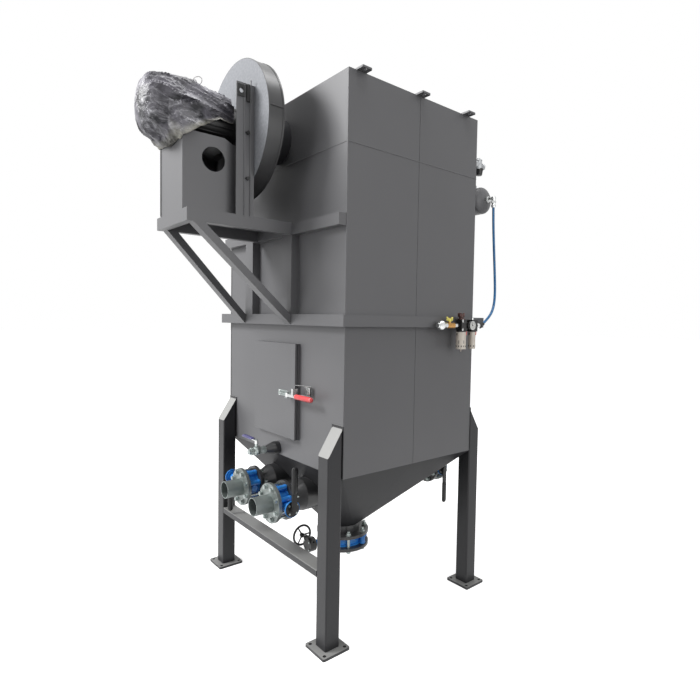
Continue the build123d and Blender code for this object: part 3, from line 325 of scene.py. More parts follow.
bm = bmesh.new()
for x, y, z in valve_places:
    through_bolts(bm, (x, y - valve_grip / 2, z), (0, 1, 0), valve_grip, valve_pcd, valve_hole)
through_bolts(bm, (0, 0, outlet_face_z), (0, 0, 1), outlet_grip, outlet_pcd, outlet_hole)
finished("flange_bolts", bm, "housing", zinc, 30)
finish_nodes(zinc, "tube_sheet")

# Inlet and outlet stubs: dull grey-green zinc on the pipe, and a brighter turned flange welded to
# it. The shade changes with the distance from the pipe's axis, since the flange was faced later.
stub_axis_x, stub_axis_z, pipe_radius = 0.1765, 0.6512, 0.061
stub_zinc, tree, shader, place = new_finish("dull zinc on pipe with faced flange", Metallic=0.6,
                                            Roughness=0.42)
spot = add_node(tree, "ShaderNodeSeparateXYZ", {}, (place, 0))
out = add_node(tree, "ShaderNodeMath", {"operation": "ABSOLUTE"}, (spot.outputs["X"], 0))
aside = add_node(tree, "ShaderNodeMath", {"operation": "SUBTRACT", 1: stub_axis_x}, (out.outputs[0], 0))
above = add_node(tree, "ShaderNodeMath", {"operation": "SUBTRACT", 1: stub_axis_z}, (spot.outputs["Z"], 0))
off_axis = add_node(tree, "ShaderNodeCombineXYZ", {}, (aside.outputs[0], "X"), (above.outputs[0], "Y"))
radius = add_node(tree, "ShaderNodeVectorMath", {"operation": "LENGTH"}, (off_axis.outputs[0], 0))
on_flange = add_node(tree, "ShaderNodeMath", {"operation": "GREATER_THAN", 1: pipe_radius},
                     (radius.outputs["Value"], 0))
wear = add_node(tree, "ShaderNodeTexNoise", {"Scale": 1000 / 38.5, "Detail": 3.0}, (place, "Vector"))
pipe_tone = add_node(tree, "ShaderNodeMix",
                     {"data_type": "RGBA", 6: colour("#777e7c"), 7: colour("#8d9593")},
                     (wear.outputs["Fac"], 0))
faced_tone = add_node(tree, "ShaderNodeMix",
                      {"data_type": "RGBA", 6: colour("#5e6462"), 7: colour("#949a98")},
                      (wear.outputs["Fac"], 0))
stub_tone = add_node(tree, "ShaderNodeMix", {"data_type": "RGBA"}, (on_flange.outputs[0], 0),
                     (pipe_tone.outputs[2], 6), (faced_tone.outputs[2], 7))
tree.links.new(stub_tone.outputs[2], shader.inputs["Base Color"])
finish_nodes(stub_zinc, "nozzle_stubs")

# Butterfly valve bodies: cast iron rings with bolt lugs and a bored neck, dipped in glossy blue
# enamel, which shows the casting's 18 mm unevenness through a smooth shine.
blue_enamel = mottled("blue enamel on cast iron", 18.2, "#1b74ca", "#3f9df0", 3.0, (0.25, 0.002),
                      Roughness=0.28, IOR=1.5)
finish_nodes(blue_enamel, "valve_bodies", "outlet_valve_body")


def bolt_lugs(bm, centre, direction, length, pcd, radius):
    """Four cast lugs that the flange bolts pass through, half sunk into the body's rim."""
    collar, collar_inset = 0.006, 0.006
    axis = Vector(direction)
    side = axis.orthogonal().normalized()
    angles = steps_round(8)
    for angle in (angles[0], angles[3], angles[4], angles[7]):
        out = Matrix.Rotation(angle, 3, axis) @ side
        start = Vector(centre) + out * (pcd / 2) - axis * (length / 2)
        round_bar(bm, start, direction, length, radius, sides=20)
        for end in (collar_inset, length - collar_inset - collar):
            round_bar(bm, start + axis * end, direction, collar, radius * 1.12, sides=20)


bm = bmesh.new()
for centre in valve_places:
    bolt_lugs(bm, centre, (0, 1, 0), 0.064, valve_pcd, 0.0145)
bolt_lugs(bm, (0, 0, outlet_valve_z), (0, 0, 1), 0.054, outlet_pcd, 0.019)
finished("valve_lugs", bm, "housing", blue_enamel, 30)

# Levers, gearbox and handwheel: steel, dipped or moulded in black plastic. It is nearly black,
# with a soft shine and a fine grain that is drawn at 8 mm.
black_plastic = mottled("black moulded plastic", 8.33, "#0b0b0c", "#19191a", Roughness=0.42, IOR=1.46)
finish_nodes(black_plastic, "near_valve_lever", "far_valve_lever", "back_valve_lever", "outlet_gearbox",
             "outlet_handwheel", "air_unit", "door_gasket")
levers = (("near_lever_grip", "inlet_lever_right", (0.3495, -0.601, 0.652), 1),
          ("far_lever_grip", "inlet_lever_left", (-0.4195, -0.601, 0.652), -1),
          ("back_lever_grip", "back_lever", (0.3145, 0.645, 0.650), -1))
grip_start, grip_length, grip_radius, grip_flatness = 0.085, 0.149, 0.0185, 0.62


def turned(bm, outline, place, direction, sides=48):
    """A lathe turned shape: its outline is (radius, distance along the axis) pairs."""
    before = set(bm.verts)
    points = [bm.verts.new((r, 0, h)) for r, h in outline]
    edges = [bm.edges.new(pair) for pair in zip(points, points[1:])]
    bmesh.ops.spin(bm, geom=points + edges, cent=(0, 0, 0), axis=(0, 0, 1), angle=math.tau, steps=sides,
                   use_merge=True)
    bmesh.ops.remove_doubles(bm, verts=[v for v in bm.verts if v not in before], dist=0.00002)
    whole = [v for v in bm.verts if v not in before]
    bmesh.ops.transform(bm, matrix=aim(place, direction), verts=whole)
    return whole


def capsule(bm, start, direction, length, radius, flat=None, flat_axis=(1, 0, 0)):
    """A round ended grip; flat squeezes it along one axis to a share of its thickness."""
    arc = [math.pi / 2 * k / 5 for k in range(6)]
    outline = [(radius * math.sin(a), radius * (1 - math.cos(a))) for a in arc]
    outline += [(radius * math.cos(a), length - radius + radius * math.sin(a)) for a in arc]
    made = turned(bm, outline, start, direction, 24)
    if flat:
        to_start = Matrix.Translation(start)
        squeeze = to_start @ Matrix.Scale(flat, 4, flat_axis) @ to_start.inverted()
        bmesh.ops.transform(bm, matrix=squeeze, verts=made)


for name, body, pivot, way in levers:
    bm = bmesh.new()
    start = Vector(pivot) + Vector((0, 0, way * grip_start))
    capsule(bm, start, (0, 0, way), grip_length, grip_radius, grip_flatness)
    for step in range(5):
        rib = start + Vector((0, 0, way * (0.030 + 0.014 * step)))
        round_bar(bm, rib, (0, 0, way), 0.004, 0.0125, sides=20)
    finished(name, bm, body, black_plastic, 40)


# Notch plates: a blue cast top flange on each valve neck, and a black pressed disc on it that
# indexes the lever, with four screws. The gearbox lid has four screws of the same kind.
def ring_outline(inner, outer, low, high):
    """The outline of a flat ring, for turning."""
    return [(inner, low), (outer, low), (outer, high), (inner, high), (inner, low)]


stem_radius, plate_under_lever, gearbox_front_y = 0.0095, 0.0193, -0.2813
blue_rims, black_discs, screws = bmesh.new(), bmesh.new(), bmesh.new()
for _, _, pivot, _ in levers:
    side = math.copysign(1, pivot[0])
    centre = Vector(pivot) - Vector((side * plate_under_lever, 0, 0))
    turned(blue_rims, ring_outline(stem_radius, 0.0455, -0.006, 0.0006), centre, (side, 0, 0))
    turned(black_discs, ring_outline(stem_radius, 0.0405, 0, 0.0038), centre, (side, 0, 0))
    for angle in steps_round(4):
        foot = centre + Vector((side * 0.0036, 0.031 * math.cos(angle), 0.031 * math.sin(angle)))
        round_bar(screws, foot, (side, 0, 0), 0.005, 0.0058, sides=6)
for angle in steps_round(4):
    foot = (0.034 * math.cos(angle), gearbox_front_y, outlet_valve_z + 0.034 * math.sin(angle))
    round_bar(screws, foot, (0, -1, 0), 0.005, 0.006, sides=6)
finished("notch_plates", black_discs, "housing", black_plastic, 30)
finished("valve_top_flanges", blue_rims, "housing", blue_enamel, 30)
finished("neck_screws", screws, "housing", zinc, 30)

# Motor under its transport wrap: a thin grey polyethylene film, pulled over the cowl, gathered by
# a string on top and drooping over the pedestal. It is creased all over and shines.
shaft_x, shaft_z, pedestal_front_y = -0.010, 2.700, -1.134
# Each station of the wrap: its share of the length, y, half width, half height, middle's height.
film_line = (
    (0.00, -1.300, 0.000, 0.000, 2.716), (0.10, -1.293, 0.060, 0.076, 2.716),
    (0.22, -1.272, 0.116, 0.138, 2.716), (0.36, -1.222, 0.150, 0.168, 2.712),
    (0.46, -1.172, 0.160, 0.172, 2.708), (0.54, -1.134, 0.164, 0.168, 2.712),
    (0.62, -1.100, 0.166, 0.156, 2.724), (0.76, -1.004, 0.150, 0.134, 2.740),
    (0.88, -0.910, 0.126, 0.122, 2.742), (0.95, -0.860, 0.118, 0.114, 2.742),
    (1.00, -0.830, 0.112, 0.104, 2.740),
)
film_end_y, tip_share, station_blur = -0.832, 0.12, 0.05
tie_share, tie_reach, mean_fold = 0.76, 0.32, 0.020
square_from, square_run, waist_y, waist_run = 0.2, 0.3, -1.06, 0.08
skirt_share, skirt_run, skirt_side = 0.60, 0.06, 0.1665
hem_low_z, hem_high_z, hem_rise, hem_highlight_from = 2.545, 2.690, 0.70, 0.70


def film_station(share):
    """Place along the shaft, half width, half height and middle height of the wrap."""
    for before, after in zip(film_line, film_line[1:]):
        if share <= after[0]:
            part = (share - before[0]) / (after[0] - before[0])
            return [a + (b - a) * part for a, b in zip(before[1:], after[1:])]
    return list(film_line[-1][1:])


def crease(point):
    """A ridge that is sharp along a line and flat between lines, as a fold in film is."""
    return (1 - abs(noise.noise(point))) ** 5


def film_spot(share, angle, lumps_round, lumps_along):
    """A point of the wrap in the space of its folds: more lumps make shorter folds that way."""
    return Vector((lumps_round * math.cos(angle), lumps_along * share, lumps_round * math.sin(angle)))


def film_push(share, angle):
    """How far folds push the film out: long ones that twist, short ones, and rays from the string."""
    long_spot = film_spot(share, angle + 1.1 * share, 2.1, 0.9)
    short_spot = film_spot(share, angle, 1.8, 3.4)
    push = noise.noise(short_spot * 0.9) * 0.014 - mean_fold
    push += crease(long_spot * 1.1) * 0.014 + crease(long_spot * 2.6) * 0.009
    push += crease(short_spot * 2.3) * 0.005
    past_tie, beside_tie = share - tie_share, 0.30 * (angle - math.pi / 2)
    rays = crease(Vector((3.4 * math.atan2(beside_tie, past_tie), 0.5, 7.0)))
    push += rays * 0.011 * max(0, 1 - math.hypot(past_tie, beside_tie) / tie_reach)
    return push * min(1, share / tip_share)


bm = bmesh.new()
bmesh.ops.create_uvsphere(bm, u_segments=220, v_segments=150, radius=1)
hem_highlight_share = bm.verts.layers.float.new("hem_highlight_share")
under_motor = []
for v in bm.verts:
    share = math.acos(max(-1, min(1, v.co.z))) / math.pi
    angle = math.atan2(v.co.y, v.co.x)
    blur = station_blur * min(1, share / tip_share)
    near = [film_station(min(1, max(0, share + blur * k))) for k in (-1, -0.5, 0, 0.5, 1)]
    y, half_width, half_height, middle = [sum(values) / len(near) for values in zip(*near)]
    push = film_push(share, angle)
    across, up = math.cos(angle), math.sin(angle)
    if up < 0:
        # Below the middle the wrap is squarer, over the motor's feet.
        square = min(1, max(0, (share - square_from) / square_run))
        across = math.copysign(abs(across) ** (1 - 0.55 * square), across)
        up = -abs(up) ** (1 - 0.2 * square)
    spot = Vector((shaft_x + (half_width + push) * across, y + 0.5 * push * max(0, 1 - share / 0.3),
                   middle + (half_height + push) * up))
    if y > pedestal_front_y - skirt_run and up < 0:
        # From the pedestal on, the lower half hangs as a skirt down its sides to a free hem.
        low = min(1, -up / skirt_share)
        under = max(0, -up - skirt_share) / (1 - skirt_share)
        over = min(1, (y - pedestal_front_y + skirt_run) / skirt_run)
        hem = min(hem_high_z, hem_low_z + hem_rise * (y - pedestal_front_y))
        frill = noise.noise(film_spot(share, angle, 1.8, 3.4) * 6)
        hem += 0.008 * frill - 0.010 * under - 0.014 * min(0, across)
        side = skirt_side + 0.7 * abs(push)
        drawn_in = min(1, max(0, (y - waist_y) / waist_run))
        width = (side + (half_width + push - side) * drawn_in) * (1 - under)
        hanging = Vector((shaft_x + math.copysign(width, across), spot.y, middle + (hem - middle) * low))
        spot = spot.lerp(hanging, over)
        # How near the free hem a point is, for the painted highlight on the crinkled hem.
        v[hem_highlight_share] = over * max(0, low - hem_highlight_from) / (1 - hem_highlight_from)
        if under and y > pedestal_front_y:
            under_motor.append(v)
    v.co = spot
bmesh.ops.delete(bm, geom=under_motor, context="VERTS")
bmesh.ops.delete(bm, geom=[v for v in bm.verts if v.co.y > film_end_y], context="VERTS")
bmesh.ops.recalc_face_normals(bm, faces=bm.faces)
film_area = sum(f.calc_area() for f in bm.faces)

# Blown and stretched polyethylene: smooth and shiny, light grey where it lies in folds, darker
# where the motor shows through, with painted highlights as white glints on every crease and a pale
# crinkled hem whose paleness is a painted highlight. Folds are 48 mm apart and drawn out along the
# shaft, and the net of creases between them 33 mm.
wrap_film, tree, shader, place = new_finish("grey polyethylene stretch film", Roughness=0.3, IOR=1.36)
drawn = add_node(tree, "ShaderNodeMapping", {"Rotation": (0.35, 0.0, 0.0), "Scale": (1.0, 0.26, 1.0)},
                 (place, "Vector"))
folds = add_node(tree, "ShaderNodeTexNoise",
                 {"Scale": 1000 / 47.62, "Detail": 8.0, "Roughness": 0.62, "Distortion": 0.5},
                 (drawn.outputs[0], "Vector"))
shaken = add_node(tree, "ShaderNodeVectorMath", {"operation": "MULTIPLY_ADD", 1: (0.14, 0.14, 0.14)},
                  (folds.outputs["Color"], 0), (drawn.outputs[0], 2))
creases = add_node(tree, "ShaderNodeTexVoronoi", {"feature": "DISTANCE_TO_EDGE", "Scale": 1000 / 33.33},
                   (shaken.outputs[0], "Vector"))
sharp = add_node(tree, "ShaderNodeMapRange", {"From Max": 0.05, "To Min": 1.0, "To Max": 0.0},
                 (creases.outputs["Distance"], "Value"))
streaks = add_node(tree, "ShaderNodeMapRange", {"From Min": 0.47, "From Max": 0.66},
                   (folds.outputs["Fac"], "Value"))
faint = add_node(tree, "ShaderNodeMath", {"operation": "MULTIPLY", 1: 0.45}, (streaks.outputs[0], 0))
glint_lines = add_node(tree, "ShaderNodeMath", {"operation": "MULTIPLY_ADD"}, (sharp.outputs[0], 0),
                  (streaks.outputs[0], 1), (faint.outputs[0], 2))
patches = add_node(tree, "ShaderNodeTexNoise", {"Scale": 1000 / 142.9, "Detail": 4.0, "Distortion": 0.8},
                   (place, "Vector"))
deep = add_node(tree, "ShaderNodeMapRange", {"From Min": 0.40, "From Max": 0.62},
                (patches.outputs["Fac"], "Value"))
body_tone = add_node(tree, "ShaderNodeMix",
                     {"data_type": "RGBA", 6: colour("#2c2c30"), 7: colour("#7c7a82")},
                     (deep.outputs[0], 0))
# Pale #c9c8ce along the crease lines: painted glints, a painted highlight.
bright = add_node(tree, "ShaderNodeMath", {"operation": "MULTIPLY", 1: 0.9}, (glint_lines.outputs[0], 0))
tone_with_painted_glints = add_node(tree, "ShaderNodeMix", {"data_type": "RGBA", 7: colour("#c9c8ce")},
                        (bright.outputs[0], 0), (body_tone.outputs[2], 6))
# Film near the free hem is mixed towards pale #e2dfcc: a painted highlight on the crinkled hem.
bunched = add_node(tree, "ShaderNodeAttribute", {"attribute_name": "hem_highlight_share"})
crinkle = add_node(tree, "ShaderNodeTexNoise", {"Scale": 1000 / 14.29, "Detail": 3.0}, (place, "Vector"))
pale = add_node(tree, "ShaderNodeMath", {"operation": "MULTIPLY"}, (bunched.outputs["Fac"], 0),
                (crinkle.outputs["Fac"], 1))
film_tone = add_node(tree, "ShaderNodeMix", {"data_type": "RGBA", 7: colour("#e2dfcc")},
                     (pale.outputs[0], 0), (tone_with_painted_glints.outputs[2], 6))
wrinkle = add_node(tree, "ShaderNodeBump", {"Strength": 0.85, "Distance": 0.009},
                   (folds.outputs["Fac"], "Height"))
tree.links.new(film_tone.outputs[2], shader.inputs["Base Color"])
tree.links.new(wrinkle.outputs[0], shader.inputs["Normal"])
film = finished("motor_wrap_film", bm, "housing", wrap_film, 60)
wall = film.modifiers.new("film_gauge", "SOLIDIFY")
wall.thickness = 0.0006
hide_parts("wrapped_motor")

# Motor frame, seen under and behind the wrap: a cast body with sixteen cooling ribs and a round
# flange against the fan's plate, bolted down on two feet.
motor_end_y, body_radius, body_length = -0.782, 0.088, 0.240
bm = bmesh.new()
turned(bm, [(0, 0), (0.104, 0), (0.108, 0.004), (0.108, 0.018), (0.094, 0.022), (body_radius, 0.045),
            (body_radius, body_length), (0, body_length)], (shaft_x, motor_end_y, shaft_z), (0, -1, 0))
for angle in steps_round(16, 0):
    out = Vector((math.cos(angle), 0, math.sin(angle)))
    rib = Vector((shaft_x, -0.830, shaft_z)) + out * body_radius
    round_bar(bm, rib, (0, -1, 0), 0.190, 0.0045, sides=6)
for side in (-1, 1):
    round_bar(bm, (shaft_x + side * 0.085, -1.100, 2.5985), (0, 1, 0), 0.160, 0.0105, sides=8)
finished("motor_frame", bm, "housing", black_plastic, 35)

# String tie: pale twisted cord, knotted over the bunched film, with one open loop standing up and
# a small one beside it.
cord_radius = 0.0021
tie_foot = Vector((shaft_x + 0.030, -1.004, 2.868))
tie_turn = Matrix.Rotation(-0.9, 3, "Z")
# Twisted polypropylene: soft and whitish, with darker strands about 7 mm apart.
pale_cord, tree, shader, place = new_finish("twisted pale polypropylene cord", Roughness=0.6, IOR=1.49)
strands = add_node(tree, "ShaderNodeTexWave", {"Scale": 1000 / 6.67, "Distortion": 2.0}, (place, "Vector"))
cord_tone = add_node(tree, "ShaderNodeMix",
                     {"data_type": "RGBA", 6: colour("#8b8a8c"), 7: colour("#d4d2d2")},
                     (strands.outputs["Fac"], 0))
tree.links.new(cord_tone.outputs[2], shader.inputs["Base Color"])
bm = bmesh.new()
for forward_by, half_width, half_height, tilt in ((0, 0.027, 0.022, 0.25), (0.024, 0.012, 0.010, -0.5)):
    before = set(bm.verts)
    cut = Matrix.Translation((0, 1, 0)) @ Matrix.Rotation(math.pi / 2, 4, "Y")
    section = bmesh.ops.create_circle(bm, segments=8, radius=cord_radius, matrix=cut)["verts"]
    edges = [e for e in bm.edges if e.verts[0] in section and e.verts[1] in section]
    bmesh.ops.spin(bm, geom=section + edges, cent=(0, 0, 0), axis=(1, 0, 0), angle=math.tau, steps=40,
                   use_merge=True)
    for v in bm.verts:
        if v not in before:
            # The round loop is widened and stood on its foot, and the cord stays as thick.
            ring = Vector((0, v.co.y, v.co.z)).normalized()
            oval = Vector((0, ring.y * half_width, (ring.z + 1) * half_height))
            v.co = tie_turn @ Matrix.Rotation(tilt, 3, "X") @ (oval + v.co - ring) + tie_foot
            v.co.y -= forward_by
bmesh.ops.remove_doubles(bm, verts=bm.verts[:], dist=0.00002)
finished("string_tie", bm, "housing", pale_cord, 60)

# Fan: its drive side plate is cut from bright zinc sheet. The drum behind it is wrapped from one
# strip with a lap and held by a hoop on each side.
fan_radius, plate_y, drum_back_y, lap_angle = 0.365, -0.780, -0.688, 0.10
# Hot dipped sheet that has weathered: pale grey, nearly without shine, with a 14 mm spangle.
bright_zinc, tree, shader, place = new_finish("hot dipped zinc sheet", Metallic=0.12, Roughness=0.6)
flowers = add_node(tree, "ShaderNodeTexVoronoi", {"Scale": 1000 / 14.3}, (place, "Vector"))
fine = add_node(tree, "ShaderNodeTexNoise", {"Scale": 1000 / 22.2, "Detail": 4.0}, (place, "Vector"))
blend = add_node(tree, "ShaderNodeMath", {"operation": "MULTIPLY"}, (flowers.outputs["Distance"], 0),
                 (fine.outputs["Fac"], 1))
zinc_tone = add_node(tree, "ShaderNodeMix",
                     {"data_type": "RGBA", 6: colour("#74767a"), 7: colour("#92949a")},
                     (blend.outputs[0], 0))
rough = add_node(tree, "ShaderNodeMapRange", {"To Min": 0.55, "To Max": 0.72},
                 (fine.outputs["Fac"], "Value"))
tree.links.new(zinc_tone.outputs[2], shader.inputs["Base Color"])
tree.links.new(rough.outputs[0], shader.inputs["Roughness"])
finish_nodes(bright_zinc, "fan_plate")
bm = bmesh.new()
for y in (plate_y + 0.006, drum_back_y - 0.006):
    hoop = ring_outline(fan_radius - 0.001, fan_radius + 0.0025, -0.005, 0.005)
    turned(bm, hoop, (shaft_x, y, shaft_z), (0, 1, 0), 96)
lap = Vector((math.cos(lap_angle), 0, math.sin(lap_angle))) * fan_radius
round_bar(bm, Vector((shaft_x, plate_y + 0.006, shaft_z)) + lap, (0, 1, 0), 0.080, 0.0045, sides=6)
finished("fan_drum_hoops", bm, "housing", gloss_coat, 30)

# Uprights beside the fan: folded sheet posts on the deck, with rolled edges. The right one has a
# slotted square bracket on top and two bolts that pull it to the fan's plate.
upright_x, fold_ys, upright_middle_y = 0.205, (-0.836, -0.802), -0.817
fold_x, deck_top_z, upright_top_z = upright_x + 0.0015, 2.202, 2.866
bm = bmesh.new()
for y in fold_ys:
    round_bar(bm, (fold_x, y, deck_top_z), (0, 0, 1), upright_top_z - deck_top_z, 0.0045, sides=8)
round_bar(bm, (fold_x, fold_ys[1], upright_top_z), (0, 0, 1), 0.024, 0.0035, sides=8)
finished("upright_folds", bm, "housing", grey_coat, 30)

facing_x = Matrix.Rotation(math.pi / 2, 4, "Y")
bracket_place = Matrix.Translation((upright_x + 0.0005, -0.855, 2.826)) @ facing_x
bm = bmesh.new()
bmesh.ops.create_circle(bm, segments=32, radius=0.0115)
square_on = Matrix.Rotation(math.pi / 4, 4, "Z")
rim = bmesh.ops.create_circle(bm, segments=4, radius=0.034, matrix=square_on)["verts"]
bmesh.ops.subdivide_edges(bm, edges=[e for e in bm.edges if all(v in rim for v in e.verts)], cuts=7)
bmesh.ops.bridge_loops(bm, edges=bm.edges[:])
grown = bmesh.ops.extrude_face_region(bm, geom=bm.faces[:])["geom"]
bmesh.ops.translate(bm, verts=[g for g in grown if isinstance(g, bmesh.types.BMVert)], vec=(0, 0, 0.005))
bmesh.ops.transform(bm, matrix=bracket_place @ Matrix.Scale(1.25, 4, (1, 0, 0)), verts=bm.verts[:])
round_bar(bm, (upright_x + 0.004, upright_middle_y, 2.862), (0, 0, -1), 0.085, 0.011, sides=6)
for bolt_z in (2.622, 2.391):
    round_bar(bm, (upright_x + 0.001, upright_middle_y, bolt_z), (1, 0, 0), 0.009, 0.0105, sides=6)
    round_bar(bm, (upright_x, -0.800, bolt_z), (0, -1, 0), 0.034, 0.005, sides=10)
finished("upright_brackets", bm, "housing", black_plastic, 30)

# Housing seams: a bead of grey sealant all round under the plenum, and a dressed weld down each
# front corner.
half_w, half_d, seam_z, seam_radius = 0.635, 0.500, 2.550, 0.0022
corner_low_z, corner_high_z, corner_radius = 0.905, 2.898, 0.0035
bm = bmesh.new()
for side in (-1, 1):
    round_bar(bm, (-half_w, side * half_d, seam_z), (1, 0, 0), 2 * half_w, seam_radius, sides=8)
    round_bar(bm, (side * half_w, -half_d, seam_z), (0, 1, 0), 2 * half_d, seam_radius, sides=8)
    corner_length = corner_high_z - corner_low_z
    round_bar(bm, (side * half_w, -half_d, corner_low_z), (0, 0, 1), corner_length, corner_radius, sides=12)
finished("plenum_seam_bead", bm, "housing", grey_coat, 50)

# Pedestal joint: the folded plates of the pedestal meet at its left front edge, and a dark bar there is
# painted shade of the gap.
bm = bmesh.new()
round_bar(bm, (shaft_x - 0.148, pedestal_front_y, 2.204), (0, 0, 1), 0.380, 0.0025, sides=8)
finished("pedestal_joint_shade_line", bm, "housing", frame_coat, 50)

# Pan door latch: a plated steel base, arm and keeper and a dark wire loop, with a red dipped grip
# on the arm and four rivets through the base. Bright plating mirrors, with fine drawing streaks.
plated = mottled("bright zinc plated steel", 6.67, "#b4b6b6", "#dcdddc", Metallic=1.0, Roughness=0.26)
finish_nodes(plated, "latch_handle", "latch_keeper")
finish_nodes(zinc, "latch_base")
finish_nodes(frame_coat, "latch_loop")
# Dipped vinyl: a strong soft red with a satin shine, slightly thicker in patches 25 mm wide.
red_dip = mottled("red dipped vinyl", 25, "#d23036", "#ee5a5c", Roughness=0.35, IOR=1.52)
bm = bmesh.new()
capsule(bm, (0.277, -0.560, 1.250), (1, 0, 0), 0.165, 0.0145)
finished("latch_grip", bm, "latch_handle", red_dip, 40)
bm = bmesh.new()
for x in (0.075, 0.165):
    for z in (1.238, 1.262):
        turned(bm, [(0, 0), (0.006, 0), (0.005, 0.003), (0, 0.0045)], (x, -0.535, z), (0, -1, 0), 16)
finished("latch_rivets", bm, "door", plated, 40)

# The disc inside the outlet valve: pressed steel, plated as brightly as the latch.
finish_nodes(plated, "outlet_disc")

# Purge valve: a zinc plated ball valve screwed on the reducer, with two hexagons and a stem nut.
# Its lever has a sleeve of blue-violet dipped vinyl, darker and glossier than the red one.
purge_y, purge_pipe_z = -0.642, 0.907
finish_nodes(plated, "purge_lever")
finish_nodes(zinc, "purge_valve")
violet_dip = mottled("blue-violet dipped vinyl", 20, "#38365f", "#5a5690", Roughness=0.3, IOR=1.52)
bm = bmesh.new()
capsule(bm, (-0.038, purge_y, 0.9685), (-1, 0, 0), 0.126, 0.0165, 0.5, (0, 0, 1))
finished("purge_lever_sleeve", bm, "purge_lever", violet_dip, 40)
bm = bmesh.new()
for y in (-0.590, -0.668):
    round_bar(bm, (0, y, purge_pipe_z), (0, -1, 0), 0.010, 0.0235, sides=6)
round_bar(bm, (0, purge_y, 0.9675), (0, 0, 1), 0.005, 0.008, sides=6)
finished("purge_valve_hexes", bm, "housing", zinc, 30)

# Pulse valves on the air tank: sand cast aluminium, each with a screwed cap, a top plug, a black
# solenoid coil below and a hexagon nut on every pipe.
tank_y, tank_z, blow_pipe_z, wall_y = 0.655, 2.455, 2.690, 0.500
cap_y, cap_z, coil_y, valve_reach = 0.679, blow_pipe_z - 0.008, 0.663, 0.530
# Sand cast metal: pale silver without mirror shine, with pits from the sand, drawn at 6 mm.
cast_silver = mottled("sand cast aluminium", 5.56, "#9fa1a3", "#c4c6c8", dents=(0.2, 0.001),
                      Metallic=0.8, Roughness=0.5)
finish_nodes(cast_silver, "pulse_valves")
caps, coils = bmesh.new(), bmesh.new()
for x in (-valve_reach, -valve_reach / 3, valve_reach / 3, valve_reach):
    turned(caps, [(0, 0), (0.0215, 0), (0.0215, 0.005), (0.0185, 0.007), (0.0185, 0.012), (0.0215, 0.014),
                  (0.0215, 0.019), (0.018, 0.023), (0, 0.023)], (x, cap_y, cap_z), (0, 1, 0), 32)
    for angle in steps_round(4):
        screw = Vector((x, cap_y + 0.022, cap_z)) + Vector((math.cos(angle), 0, math.sin(angle))) * 0.0155
        round_bar(caps, screw, (0, 1, 0), 0.005, 0.0036, sides=6)
    turned(caps, [(0, 0), (0.0098, 0), (0.0112, 0.002), (0.0112, 0.009), (0.009, 0.0125), (0, 0.0125)],
           (x, tank_y, blow_pipe_z + 0.030), (0, 0, 1), 20)
    turned(caps, [(0, 0), (0.0228, 0), (0.0240, 0.003), (0.0228, 0.006), (0, 0.006)],
           (x, tank_y, blow_pipe_z + 0.024), (0, 0, 1), 28)
    round_bar(caps, (x, tank_y - 0.050, 2.528), (0, 0, 1), 0.018, 0.0235, sides=6)
    round_bar(caps, (x, wall_y, blow_pipe_z), (0, 1, 0), 0.016, 0.0255, sides=6)
    round_bar(coils, (x, coil_y, blow_pipe_z - 0.0665), (0, 0, 1), 0.038, 0.0184, 0.0252, sides=28)
    round_bar(coils, (x, coil_y, blow_pipe_z - 0.031), (0, 0, 1), 0.006, 0.0262, sides=28)
finished("pulse_valve_caps", caps, "housing", cast_silver, 30)
finished("pulse_valve_coils", coils, "housing", black_plastic, 30)

# Fittings on the tank's end: a hexagon bush, a nut, the elbow with its lower nut and a push-in
# collar that holds the hose, all plated.
elbow_x = 0.655
finish_nodes(plated, "hose_elbow")
bm = bmesh.new()
round_bar(bm, (0.597, tank_y, tank_z), (1, 0, 0), 0.017, 0.021, sides=6)
round_bar(bm, (0.624, tank_y, tank_z), (1, 0, 0), 0.012, 0.0145, sides=6)
round_bar(bm, (elbow_x, tank_y, tank_z - 0.016), (0, 0, -1), 0.014, 0.0155, sides=6)
turned(bm, [(0, 0), (0.0128, 0), (0.0145, 0.003), (0.0145, 0.012), (0.0118, 0.016), (0, 0.016)],
       (elbow_x, tank_y, tank_z - 0.040), (0, 0, -1), 28)
finished("tank_fittings", bm, "housing", plated, 30)

# Shut-off valve of the air service unit: turned brass, with a yellow nylon wing handle of two
# bent lobes on its stem.
air_x, air_z = 0.720, 1.652
coupler_y, shutoff_y, regulator_y, lubricator_y = 0.086, 0.187, 0.290, 0.391
# Brass looks warm and mirrors softly. Nylon is a flat warm yellow with a slight haze.
brass = mottled("turned brass", 11.1, "#9a7040", "#c79a5c", Metallic=1.0, Roughness=0.32)
finish_nodes(brass, "shutoff_valve")
yellow_nylon = mottled("yellow moulded nylon", 16.7, "#e0d24a", "#f6ec86", Roughness=0.4, IOR=1.53)
bm = bmesh.new()
turned(bm, [(0, 0), (0.0088, 0), (0.0098, 0.002), (0.0088, 0.010), (0.0065, 0.013), (0.0065, 0.020),
            (0, 0.020)], (air_x, shutoff_y, air_z + 0.0205), (0, 0, 1), 32)
for way in (-1, 1):
    capsule(bm, (air_x, shutoff_y + way * 0.004, air_z + 0.032), (0, way, 0.10), 0.0235, 0.0088, 0.62)
    capsule(bm, (air_x, shutoff_y + way * 0.019, air_z + 0.031), (0, way * 0.16, 1), 0.0185, 0.0072, 0.7)
wing = finished("shutoff_wing", bm, "shutoff_handle", yellow_nylon, 50)
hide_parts("shutoff_handle")

